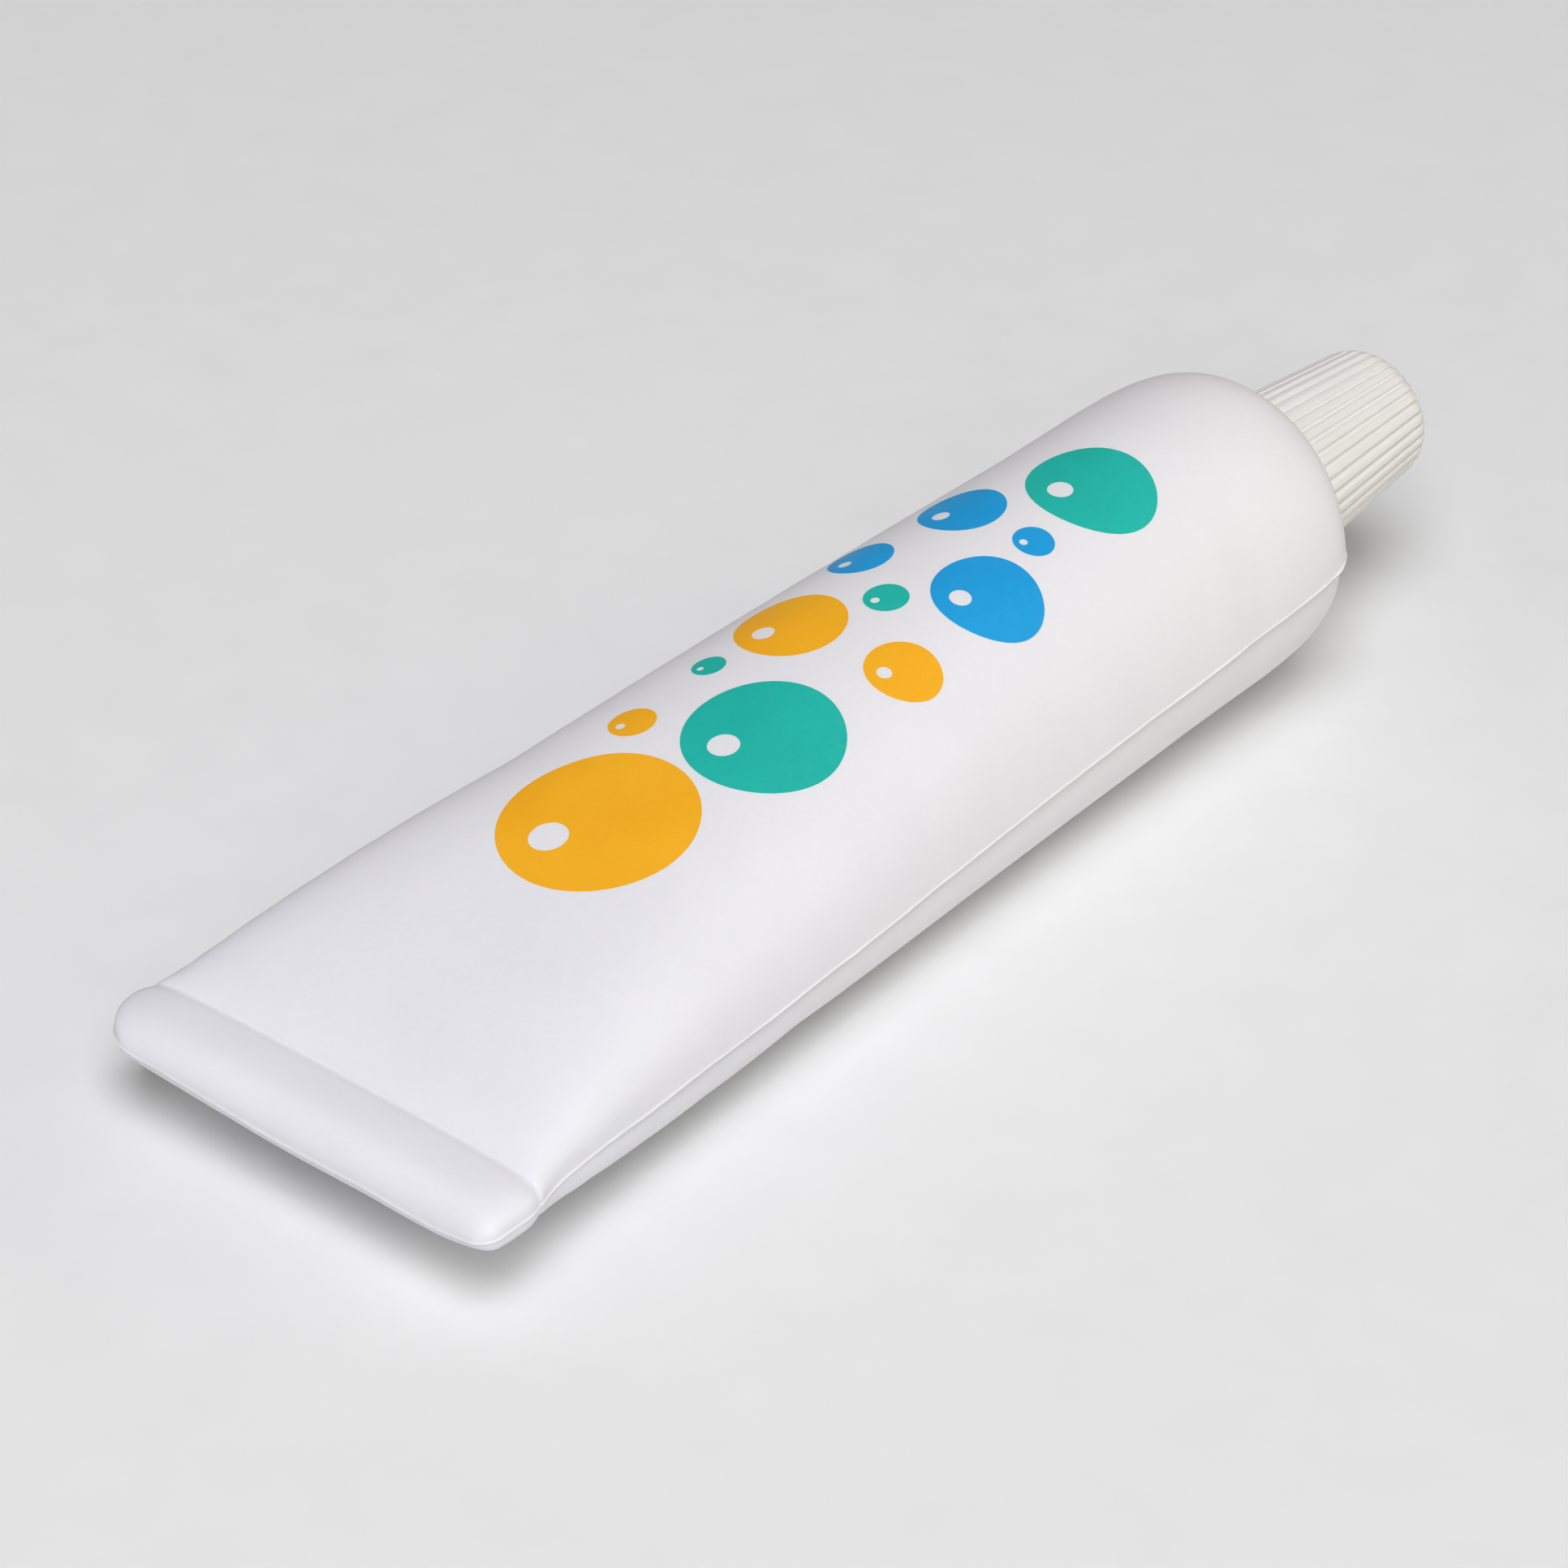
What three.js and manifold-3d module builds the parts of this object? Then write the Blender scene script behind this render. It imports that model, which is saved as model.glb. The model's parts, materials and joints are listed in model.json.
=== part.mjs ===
// Soft cream tube lying on its side: a moulded skin in two halves over a laminate sleeve and a
// liner full of cream, a rigid head with a threaded neck, and a fluted screw cap.
// Millimetres. Pieces are shaped in the tube's own frame: +X runs from the flat tail to the cap
// along the tube's axis, and z = 0 is the parting plane between the two halves of the skin.

import * as THREE from 'three';
import { mergeVertices } from 'three/addons/utils/BufferGeometryUtils.js';
import Module from 'manifold-3d';

// ---------------------------------------------------------------- driving dimensions

const GAP = 0.3;                        // clearance between neighbouring pieces

// tube body
const ROUND_RADIUS = 17.5;              // where the tube is round; its girth is kept to the tail
const ROUND_FROM = 132;                 // station where the section has become round
const TAIL_HALF_HEIGHT = 2.85;          // body just in front of the tail band
const SWELL_POWER = 0.74;               // below 1, the body swells up quickly from the tail
const TAIL_EXTRA_WIDTH = 0.7;           // stretch of the pinched tail
const CREASE_EXTRA_WIDTH = 1;           // more stretch beside the tail band, and how soon it fades
const CREASE_FADE = 2;
const TAIL_SQUARENESS = 4.3;            // superellipse exponents of the cross-section
const MIDDLE_SQUARENESS = 2.55;
const MIDDLE_AT = 50;
const ROUND_AT = 120;

// pillow-shaped tail band and the groove in front of it
const BAND_LENGTH = 8.3;
const BAND_HALF_WIDTH = 26.7;
const BAND_HALF_HEIGHT = 2.95;
const BAND_END_HALF_HEIGHT = 0.9;
const NEAR_CORNER = 2.1;                // corner radii in plan, on the -Y side and the +Y side
const FAR_CORNER = 6;
const BAND_FULLNESS = 2.6;
const GROOVE_HALF_HEIGHT = 2.4;
const GROOVE_RISE = 1.4;                // length over which the body lifts out of the groove
const NECK_IN = 2.6;                    // end of the band where its width draws in to the body's

// shoulder: a superelliptic corner from the round body to the neck
const SHOULDER_FROM = 125;
const SHOULDER_END = 146.8;
const SHOULDER_INNER_RADIUS = 8.8;
const SHOULDER_SQUARENESS = 4.2;
const SKIN_HOLE_RADIUS = 9.3;

// wall layers, as depths below the outer surface
const SKIN_THICKNESS = 1.3;
const BARRIER_OUTSIDE = SKIN_THICKNESS + GAP;
const BARRIER_INSIDE = BARRIER_OUTSIDE + 0.35;
const LINER_OUTSIDE = BARRIER_INSIDE + GAP;
const LINER_INSIDE = LINER_OUTSIDE + 0.45;
const CREAM_OUTSIDE = LINER_INSIDE + GAP;
const SLOT_HALF_HEIGHT = 0.95;          // slot in the tail band that holds the welded tongue
const TAIL_WALL = 1.6;
const SLEEVE_FRONT = 133;

// resting: the tube leans back on a strip that the weight of the cream has flattened
const REST_TILT = THREE.MathUtils.degToRad(3.8);
const FLAT_CENTRE = 88;
const FLAT_DEPTH = 1.1;

// head and neck
const SKIRT_RADIUS = 14.5;
const SKIRT_FROM = 127;
const HEAD_WALL = 1.2;
const COLLAR_RADIUS = 8.9;
const COLLAR_TOP = 146.9;
const NECK_RADIUS = 4.6;
const NECK_TOP = 158;
const NOZZLE_RADIUS = 2.6;
const RIM_BEVEL = 0.35;
const INSERT_WALL = 0.5;
const FOIL_THICKNESS = 0.2;

// screw thread, right-handed
const PITCH = 3;
const THREAD_CREST_RADIUS = 5.6;
const THREAD_ROOT_WIDTH = 1.5;
const THREAD_CREST_WIDTH = 0.7;
const THREAD_FROM = 149.4;
const THREAD_TURNS = 2.4;
const THREAD_STEPS_PER_TURN = 24;
const THREAD_RUN_OUT = 0.12;            // part of a turn over which a thread fades in and out

// cap
const CAP_FROM = 147.3;
const CAP_END = 171.5;
const CAP_BASE_RADIUS = 9.8;
const CAP_END_RADIUS = 7.5;
const CAP_CORNER = 3.4;
const FLUTES = 36;
const FLUTE_DEPTH = 0.4;
const FLUTE_HALF_ANGLE = THREE.MathUtils.degToRad(2.2);
const CAP_BORE_RADIUS = 6;
const CAP_CREST_RADIUS = 4.95;
const CAP_THREAD_TURNS = 2.3;
const CAP_END_WALL = 1.8;
const CAP_HOLLOW_RADIUS = 4.2;
const CORE_INNER_RADIUS = 7.2;          // moulding groove between the threaded sleeve and the skirt
const CORE_DEPTH = 7;
const CAP_SKIN = 1.25;
const WAD_THICKNESS = 1.4;
const WAD_RADIUS = 5.6;

const HALF_COLUMNS = 16;                // steps round half a cross-section
const SHOULDER_STEPS = 7;
const LATHE_SEGMENTS = 36;

// ---------------------------------------------------------------- outer shape of the tube

const smooth = (k) => k * k * (3 - 2 * k);
const clamp01 = (k) => THREE.MathUtils.clamp(k, 0, 1);

// half height of the plain body, without the tail band
function bodyHalfHeight(x) {
  const s = clamp01((x - BAND_LENGTH) / (ROUND_FROM - BAND_LENGTH)) ** SWELL_POWER;
  return TAIL_HALF_HEIGHT + (ROUND_RADIUS - TAIL_HALF_HEIGHT) * Math.sin(s * Math.PI / 2);
}

function bandHalfHeight(x) {
  const e = x / BAND_LENGTH;
  const pillow = BAND_HALF_HEIGHT * Math.sqrt(1 - Math.abs(2 * e - 1) ** BAND_FULLNESS);
  return Math.max(pillow, e < 0.5 ? BAND_END_HALF_HEIGHT : GROOVE_HALF_HEIGHT);
}

function halfHeight(x) {
  if (x <= BAND_LENGTH) {
    return bandHalfHeight(x);
  }
  const rise = Math.sin(clamp01((x - BAND_LENGTH) / GROOVE_RISE) * Math.PI / 2);
  return GROOVE_HALF_HEIGHT + (bodyHalfHeight(x) - GROOVE_HALF_HEIGHT) * rise;
}

// a tube that is pinched flat keeps its girth, so it grows wider as it gets lower
function bodyHalfWidth(x) {
  const s = clamp01((x - BAND_LENGTH) / (ROUND_FROM - BAND_LENGTH));
  const height = bodyHalfHeight(x);
  const crease = CREASE_EXTRA_WIDTH * Math.exp(-Math.max(x - BAND_LENGTH, 0) / CREASE_FADE);
  return Math.sqrt(2 * ROUND_RADIUS ** 2 - height ** 2) + TAIL_EXTRA_WIDTH * (1 - s) + crease;
}

// how far a rounded corner of the tail draws the edge in at a station
function cornerDrop(x, radius) {
  const c = clamp01(1 - x / radius);
  return radius * (1 - Math.sqrt(1 - c * c));
}

function halfWidth(x) {
  const blend = smooth(clamp01((x - BAND_LENGTH) / NECK_IN + 1));
  return BAND_HALF_WIDTH - cornerDrop(x, NEAR_CORNER) + (bodyHalfWidth(x) - BAND_HALF_WIDTH) * blend;
}

// the tail's +Y corner is rounder than the other, so that side is narrower by this much
function farTrim(x) {
  return cornerDrop(x, FAR_CORNER) - cornerDrop(x, NEAR_CORNER);
}

function squareness(x) {
  if (x < MIDDLE_AT) {
    const k = clamp01((x - BAND_LENGTH) / (MIDDLE_AT - BAND_LENGTH));
    return TAIL_SQUARENESS + (MIDDLE_SQUARENESS - TAIL_SQUARENESS) * k;
  }
  const k = clamp01((x - MIDDLE_AT) / (ROUND_AT - MIDDLE_AT));
  return MIDDLE_SQUARENESS + (2 - MIDDLE_SQUARENESS) * k;
}

// distance from the axis down to the surface that the tube lies on
function floorDepth(x) {
  return bodyHalfHeight(FLAT_CENTRE) - FLAT_DEPTH + (x - FLAT_CENTRE) * Math.tan(REST_TILT);
}

// A section is { x, width, height, inset }: half width and half height at a station.
// These two give the section that lies `inset` below the outer surface.
function bodySection(x, inset) {
  const step = 0.02;
  const slope = (halfHeight(x + step) - halfHeight(x - step)) / (2 * step);
  const length = Math.hypot(1, slope);
  const at = x + inset * slope / length;
  return { x: at, width: halfWidth(at) - inset, height: halfHeight(x) - inset / length, inset };
}

function shoulderSection(angle, inset) {
  const along = SHOULDER_END - SHOULDER_FROM;
  const across = ROUND_RADIUS - SHOULDER_INNER_RADIUS;
  const e = Math.sin(angle) ** (2 / SHOULDER_SQUARENESS);
  const g = Math.cos(angle) ** (2 / SHOULDER_SQUARENESS);
  const nx = e ** (SHOULDER_SQUARENESS - 1) / along;
  const nr = g ** (SHOULDER_SQUARENESS - 1) / across;
  const length = Math.hypot(nx, nr);
  const radius = SHOULDER_INNER_RADIUS + across * g - inset * nr / length;
  return { x: SHOULDER_FROM + along * e - inset * nx / length, width: radius, height: radius, inset };
}

// angle on the shoulder's superellipse where the outer surface has a given radius
function shoulderAngle(radius) {
  const g = (radius - SHOULDER_INNER_RADIUS) / (ROUND_RADIUS - SHOULDER_INNER_RADIUS);
  return Math.acos(g ** (SHOULDER_SQUARENESS / 2));
}

const BODY_STATIONS = [8.8, 9.4, 10.4, 12, 15, 19, 24, 31, 40, 51, 63, 76, 88, 100, 112, 124];
const BAND_STATIONS = [0.4, 1.1, 2.1, 3.2, 4.15, 5, 5.7, 6.5, 7.4, BAND_LENGTH];
const SKIN_SHOULDER_END = shoulderAngle(SKIN_HOLE_RADIUS);

function bodySections(inset, from = BODY_STATIONS[0]) {
  return BODY_STATIONS.filter((x) => x >= from).map((x) => bodySection(x, inset));
}

function shoulderSections(inset, lastAngle = SKIN_SHOULDER_END) {
  const sections = [];
  for (let i = 0; i <= SHOULDER_STEPS; i++) {
    sections.push(shoulderSection(lastAngle * i / SHOULDER_STEPS, inset));
  }
  return sections;
}

// point of a section at an angle from +Y towards +Z, kept above the flattened resting strip
function sectionPoint(section, angle) {
  const power = 2 / squareness(section.x);
  const c = Math.cos(angle);
  const s = Math.sin(angle);
  const reach = section.width - (c > 0 ? farTrim(section.x) : 0);
  const y = reach * Math.sign(c) * Math.abs(c) ** power;
  const z = section.height * Math.sign(s) * Math.abs(s) ** power;
  return new THREE.Vector3(section.x, y, Math.max(z, section.inset - floorDepth(section.x)));
}

function ring(section) {
  const points = [];
  for (let j = 0; j < 2 * HALF_COLUMNS; j++) {
    points.push(sectionPoint(section, Math.PI * j / HALF_COLUMNS));
  }
  return points;
}

// ---------------------------------------------------------------- mesh helpers

const wasm = await Module();
wasm.setup();

function bufferGeometry(points, triangles) {
  const geometry = new THREE.BufferGeometry().setFromPoints(points);
  geometry.setIndex(triangles);
  return geometry;
}

// closed solid through a stack of rings, with a fan over the first and the last
function loft(rings) {
  const count = rings[0].length;
  const points = rings.flat();
  const triangles = [];
  for (let i = 0; i + 1 < rings.length; i++) {
    for (let j = 0; j < count; j++) {
      const a = i * count + j;
      const b = i * count + (j + 1) % count;
      triangles.push(a, b, a + count, b, b + count, a + count);
    }
  }
  const last = (rings.length - 1) * count;
  const centre = (items) => items.reduce((sum, p) => sum.add(p), new THREE.Vector3()).divideScalar(count);
  points.push(centre(rings[0]), centre(rings[rings.length - 1]));
  for (let j = 0; j < count; j++) {
    const next = (j + 1) % count;
    triangles.push(points.length - 2, next, j, points.length - 1, last + j, last + next);
  }
  return bufferGeometry(points, triangles);
}

// closed solid between two grids of points of the same size, joined round their edges
function shell(outer, inner) {
  const rows = outer.length;
  const columns = outer[0].length;
  const offset = rows * columns;
  const triangles = [];
  const quad = (a, b, c, d) => triangles.push(a, b, c, a, c, d);
  for (let i = 0; i < rows; i++) {
    for (let j = 0; j < columns; j++) {
      const a = i * columns + j;
      if (i + 1 < rows && j + 1 < columns) {
        quad(a, a + 1, a + columns + 1, a + columns);
        quad(a + offset, a + columns + offset, a + columns + 1 + offset, a + 1 + offset);
      }
      if (i + 1 < rows && j === 0) {
        quad(a, a + columns, a + columns + offset, a + offset);
      }
      if (i + 1 < rows && j === columns - 1) {
        quad(a, a + offset, a + columns + offset, a + columns);
      }
      if (j + 1 < columns && i === 0) {
        quad(a, a + offset, a + 1 + offset, a + 1);
      }
      if (j + 1 < columns && i === rows - 1) {
        quad(a, a + 1, a + 1 + offset, a + offset);
      }
    }
  }
  return bufferGeometry([...outer.flat(), ...inner.flat()], triangles);
}

// solid of revolution about the tube's axis from a closed profile of [radius, x] points
function revolve(profile, segments = LATHE_SEGMENTS) {
  const points = profile.map(([radius, x]) => new THREE.Vector2(radius, x));
  return new THREE.LatheGeometry(points, segments).rotateZ(-Math.PI / 2);
}

// manifold-3d solid of a closed geometry; one that is inside out is turned the right way
function solid(geometry) {
  const bare = new THREE.BufferGeometry();
  bare.setAttribute('position', geometry.getAttribute('position'));
  bare.setIndex(geometry.getIndex());
  const merged = mergeVertices(bare, 1e-4);
  const triVerts = [];
  const index = merged.getIndex().array;
  for (let t = 0; t < index.length; t += 3) {
    const [a, b, c] = [index[t], index[t + 1], index[t + 2]];
    if (a !== b && b !== c && c !== a) {
      triVerts.push(a, b, c);
    }
  }
  if (signedVolume(merged, triVerts) < 0) {
    triVerts.reverse();
  }
  const vertProperties = new Float32Array(merged.getAttribute('position').array);
  return new wasm.Manifold(new wasm.Mesh({ numProp: 3, vertProperties, triVerts: new Uint32Array(triVerts) }));
}

function signedVolume(geometry, triangles) {
  const position = geometry.getAttribute('position');
  const corner = (i) => new THREE.Vector3().fromBufferAttribute(position, triangles[i]);
  let volume = 0;
  for (let t = 0; t < triangles.length; t += 3) {
    volume += corner(t).dot(corner(t + 1).cross(corner(t + 2))) / 6;
  }
  return volume;
}

function piece(name, body, color, roughness, metalness = 0) {
  const mesh = body.getMesh();
  const geometry = new THREE.BufferGeometry();
  geometry.setAttribute('position', new THREE.BufferAttribute(new Float32Array(mesh.vertProperties), 3));
  geometry.setIndex(Array.from(mesh.triVerts));
  geometry.computeVertexNormals();
  const material = new THREE.MeshStandardMaterial({ color, roughness, metalness });
  const result = new THREE.Mesh(geometry, material);
  result.name = name;
  return result;
}

// ---------------------------------------------------------------- skin

// one half of the skin: side is +1 above the parting plane and -1 below it
function skinHalf(side) {
  const seam = GAP / 2;
  const row = (section, flat = false) => {
    const points = [];
    for (let j = 0; j <= HALF_COLUMNS; j++) {
      const point = sectionPoint(section, side * Math.PI * j / HALF_COLUMNS);
      const height = flat ? 0 : Math.abs(point.z);
      const shifted = side * (seam + height * (1 - seam / section.height));
      point.z = Math.max(shifted, section.inset - floorDepth(section.x));
      points.push(point);
    }
    return points;
  };
  const end = { x: 0, width: halfWidth(0), height: BAND_END_HALF_HEIGHT, inset: 0 };
  const outer = [row(end, true), row(end)];
  const slotEnd = { x: TAIL_WALL, width: halfWidth(TAIL_WALL) - SKIN_THICKNESS, height: SLOT_HALF_HEIGHT, inset: 0 };
  const inner = [row(slotEnd, true), row(slotEnd)];
  for (const x of BAND_STATIONS) {
    const at = TAIL_WALL + x * (BAND_LENGTH + 0.7 - TAIL_WALL) / BAND_LENGTH;
    outer.push(row({ x, width: halfWidth(x), height: halfHeight(x), inset: 0 }));
    inner.push(row({ x: at, width: halfWidth(at) - SKIN_THICKNESS, height: SLOT_HALF_HEIGHT, inset: 0 }));
  }
  for (const [inset, rows] of [[0, outer], [SKIN_THICKNESS, inner]]) {
    for (const section of [...bodySections(inset), ...shoulderSections(inset)]) {
      rows.push(row(section));
    }
  }
  return solid(shell(outer, inner));
}

// ---------------------------------------------------------------- layers under the skin

// rings of a sleeve that stops level with SLEEVE_FRONT, which is still on the straight wall
function sleeveRings(inset, from) {
  const front = { x: SLEEVE_FRONT, width: ROUND_RADIUS - inset, height: ROUND_RADIUS - inset, inset };
  return [...bodySections(inset, from), front].map(ring);
}

function barrierSleeve() {
  const tongue = [TAIL_WALL + GAP, BAND_LENGTH + 0.8].map((x) => ring({
    x, width: halfWidth(x) - BARRIER_OUTSIDE, height: SLOT_HALF_HEIGHT - GAP, inset: 0,
  }));
  const outside = [...tongue, ...sleeveRings(BARRIER_OUTSIDE, BODY_STATIONS[0])];
  const inside = sleeveRings(BARRIER_INSIDE, BODY_STATIONS[0]);
  return solid(loft([...outside, ...inside.reverse()]));
}

function innerLiner() {
  const outside = sleeveRings(LINER_OUTSIDE, BODY_STATIONS[1]);
  const inside = sleeveRings(LINER_INSIDE, BODY_STATIONS[2]);
  return solid(loft([...outside, ...inside.reverse()]));
}

// ---------------------------------------------------------------- head

// [radius, x] points of the dome that lies `inset` below the shoulder, between two radii; points
// where the deep offset of the corner would fold back on itself are left out
function domeProfile(inset, largest, smallest) {
  const points = [];
  for (const section of shoulderSections(inset, Math.PI / 2)) {
    const [lastRadius, lastX] = points.at(-1) ?? [largest, 0];
    if (section.width < lastRadius && section.width > smallest && section.x > lastX) {
      points.push([section.width, section.x]);
    }
  }
  return points;
}

function helicalRidge(rootRadius, crestRadius, from, turns) {
  const rings = [];
  const steps = Math.round(turns * THREAD_STEPS_PER_TURN);
  for (let i = 0; i <= steps; i++) {
    const turn = i / THREAD_STEPS_PER_TURN;
    const fade = smooth(clamp01(Math.min(turn, turns - turn) / THREAD_RUN_OUT));
    const crest = rootRadius + (crestRadius - rootRadius) * (0.1 + 0.9 * fade);
    const angle = 2 * Math.PI * turn;
    const corners = [
      [-THREAD_ROOT_WIDTH / 2, rootRadius], [-THREAD_CREST_WIDTH / 2, crest],
      [THREAD_CREST_WIDTH / 2, crest], [THREAD_ROOT_WIDTH / 2, rootRadius],
    ];
    rings.push(corners.map(([dx, radius]) => new THREE.Vector3(
      from + PITCH * turn + dx, radius * Math.cos(angle), radius * Math.sin(angle),
    )));
  }
  return solid(loft(rings));
}

function tubeHead() {
  const outside = BARRIER_OUTSIDE;
  const inside = outside + HEAD_WALL;
  const flangeFrom = SLEEVE_FRONT + GAP;
  const skirtInner = SKIRT_RADIUS - HEAD_WALL;
  const dome = domeProfile(outside, Infinity, COLLAR_RADIUS).filter(([, x]) => x > flangeFrom);
  const ceiling = domeProfile(inside, skirtInner, NOZZLE_RADIUS + 1).reverse();
  const collarFoot = dome[dome.length - 1][1];
  const profile = [
    [SKIRT_RADIUS, SKIRT_FROM],
    [SKIRT_RADIUS, flangeFrom],
    [dome[0][0] + 0.05, flangeFrom],
    ...dome,
    [COLLAR_RADIUS, collarFoot],
    [COLLAR_RADIUS, COLLAR_TOP],
    [NECK_RADIUS, COLLAR_TOP],
    [NECK_RADIUS, NECK_TOP - RIM_BEVEL],
    [NECK_RADIUS - RIM_BEVEL, NECK_TOP],
    [NOZZLE_RADIUS, NECK_TOP],
    [NOZZLE_RADIUS, SHOULDER_END - inside],
    ...ceiling,
    [skirtInner, ceiling[ceiling.length - 1][1] - 1],
    [skirtInner, SKIRT_FROM],
    [SKIRT_RADIUS, SKIRT_FROM],
  ];
  const thread = helicalRidge(NECK_RADIUS - 0.2, THREAD_CREST_RADIUS, THREAD_FROM, THREAD_TURNS);
  return solid(revolve(profile)).add(thread);
}

function shoulderInsert() {
  const inset = BARRIER_OUTSIDE + HEAD_WALL + GAP;
  const radius = SKIRT_RADIUS - HEAD_WALL - GAP;
  const hole = NOZZLE_RADIUS + 0.6;
  const outer = domeProfile(inset, radius, hole);
  const inner = domeProfile(inset + INSERT_WALL, radius - INSERT_WALL, hole);
  const profile = [
    [radius - INSERT_WALL, SKIRT_FROM],
    [radius, SKIRT_FROM],
    [radius, outer[0][1] - 1],
    ...outer,
    [hole, SHOULDER_END - inset],
    [hole, SHOULDER_END - inset - INSERT_WALL],
    ...inner.reverse(),
    [radius - INSERT_WALL, inner[inner.length - 1][1] - 1],
    [radius - INSERT_WALL, SKIRT_FROM],
  ];
  return solid(revolve(profile));
}

function neckFoil() {
  const radius = NECK_RADIUS - 0.1;
  const profile = [
    [0, NECK_TOP + GAP],
    [radius, NECK_TOP + GAP],
    [radius, NECK_TOP + GAP + FOIL_THICKNESS],
    [0, NECK_TOP + GAP + FOIL_THICKNESS],
  ];
  return solid(revolve(profile));
}

function creamFill() {
  const inset = BARRIER_OUTSIDE + HEAD_WALL + 2 * GAP + INSERT_WALL;
  const throat = SKIRT_RADIUS - HEAD_WALL - INSERT_WALL - 2 * GAP;
  const column = NOZZLE_RADIUS - GAP;
  const round = (radius, x) => ring({ x, width: radius, height: radius, inset: 0 });
  const dome = domeProfile(inset, throat, column);
  const rings = bodySections(CREAM_OUTSIDE, BODY_STATIONS[4]).map(ring);
  rings.push(round(ROUND_RADIUS - CREAM_OUTSIDE, SKIRT_FROM - 2 * GAP));
  rings.push(round(throat, SKIRT_FROM - GAP));
  rings.push(round(throat, dome[0][1] - 1));
  rings.push(...dome.map(([radius, x]) => round(radius, x)));
  rings.push(round(column, SHOULDER_END - inset));
  rings.push(round(column, NECK_TOP));
  return solid(loft(rings));
}

// ---------------------------------------------------------------- cap

const capRadius = (x) =>
  CAP_BASE_RADIUS + (CAP_END_RADIUS - CAP_BASE_RADIUS) * (x - CAP_FROM) / (CAP_END - CAP_FROM);

// ring of the fluted outside: a narrow V at each flute and a plain land between two of them
function flutedRing(x, radius, depth) {
  const points = [];
  for (let k = 0; k < FLUTES; k++) {
    const middle = 2 * Math.PI * k / FLUTES + Math.PI / 2;
    for (const [turn, r] of [[-FLUTE_HALF_ANGLE, radius], [0, radius - depth], [FLUTE_HALF_ANGLE, radius]]) {
      points.push(new THREE.Vector3(x, r * Math.cos(middle + turn), r * Math.sin(middle + turn)));
    }
  }
  return points;
}

function capOutside() {
  const rings = [flutedRing(CAP_FROM, capRadius(CAP_FROM), FLUTE_DEPTH)];
  const cornerSteps = 4;
  for (let i = 0; i <= cornerSteps; i++) {
    const angle = Math.PI / 2 * i / cornerSteps;
    const x = CAP_END - CAP_CORNER + CAP_CORNER * Math.sin(angle);
    const radius = capRadius(CAP_END - CAP_CORNER) - CAP_CORNER * (1 - Math.cos(angle));
    rings.push(flutedRing(x, radius, FLUTE_DEPTH * Math.cos(angle) ** 2));
  }
  return solid(loft(rings));
}

function capShell() {
  const ledge = NECK_TOP + 3 * GAP + FOIL_THICKNESS + WAD_THICKNESS;
  const bore = [
    [0, CAP_FROM - 1],
    [CAP_BORE_RADIUS, CAP_FROM - 1],
    [CAP_BORE_RADIUS, ledge],
    [CAP_HOLLOW_RADIUS, ledge],
    [CAP_HOLLOW_RADIUS, CAP_END - CAP_END_WALL],
    [0, CAP_END - CAP_END_WALL],
  ];
  const coreEnd = CAP_FROM + CORE_DEPTH;
  const core = [
    [CORE_INNER_RADIUS, CAP_FROM - 1],
    [capRadius(CAP_FROM) - CAP_SKIN, CAP_FROM - 1],
    [capRadius(coreEnd) - CAP_SKIN, coreEnd],
    [CORE_INNER_RADIUS, coreEnd],
    [CORE_INNER_RADIUS, CAP_FROM - 1],
  ];
  const threadFrom = THREAD_FROM + PITCH / 2;
  const thread = helicalRidge(CAP_BORE_RADIUS + 0.2, CAP_CREST_RADIUS, threadFrom, CAP_THREAD_TURNS);
  return capOutside().subtract(solid(revolve(bore))).subtract(solid(revolve(core))).add(thread);
}

function capWad() {
  const from = NECK_TOP + 2 * GAP + FOIL_THICKNESS;
  const profile = [[0, from], [WAD_RADIUS, from], [WAD_RADIUS, from + WAD_THICKNESS], [0, from + WAD_THICKNESS]];
  return solid(revolve(profile));
}

// ---------------------------------------------------------------- assembly

const tube = new THREE.Group();
tube.add(
  piece('skin_upper', skinHalf(1), 0xe6e4e8, 0.62),
  piece('skin_lower', skinHalf(-1), 0xe6e4e8, 0.62),
  piece('barrier_sleeve', barrierSleeve(), 0xc4c6c9, 0.35, 1),
  piece('inner_liner', innerLiner(), 0xf2f2ee, 0.5),
  piece('tube_head', tubeHead(), 0xf0efea, 0.45),
  piece('shoulder_insert', shoulderInsert(), 0xdcdcd6, 0.4),
  piece('neck_foil', neckFoil(), 0xc9cacc, 0.3, 1),
  piece('cream_fill', creamFill(), 0xfafaf6, 0.55),
  piece('cap_shell', capShell(), 0xdcdad4, 0.5),
  piece('cap_wad', capWad(), 0xf4f2ec, 0.8),
);

// lay the tube on its flattened strip, with the whole object's box centred over the origin
tube.rotation.y = -REST_TILT;
tube.position.z = floorDepth(0) * Math.cos(REST_TILT);
const group = new THREE.Group();
group.add(tube);
group.updateMatrixWorld(true);
const box = new THREE.Box3().setFromObject(group, true);
tube.position.x = -(box.min.x + box.max.x) / 2;
group.updateMatrixWorld(true);

export default group;
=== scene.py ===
import json
import math

import bpy
import numpy as np
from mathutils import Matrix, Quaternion, Vector, noise


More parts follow.
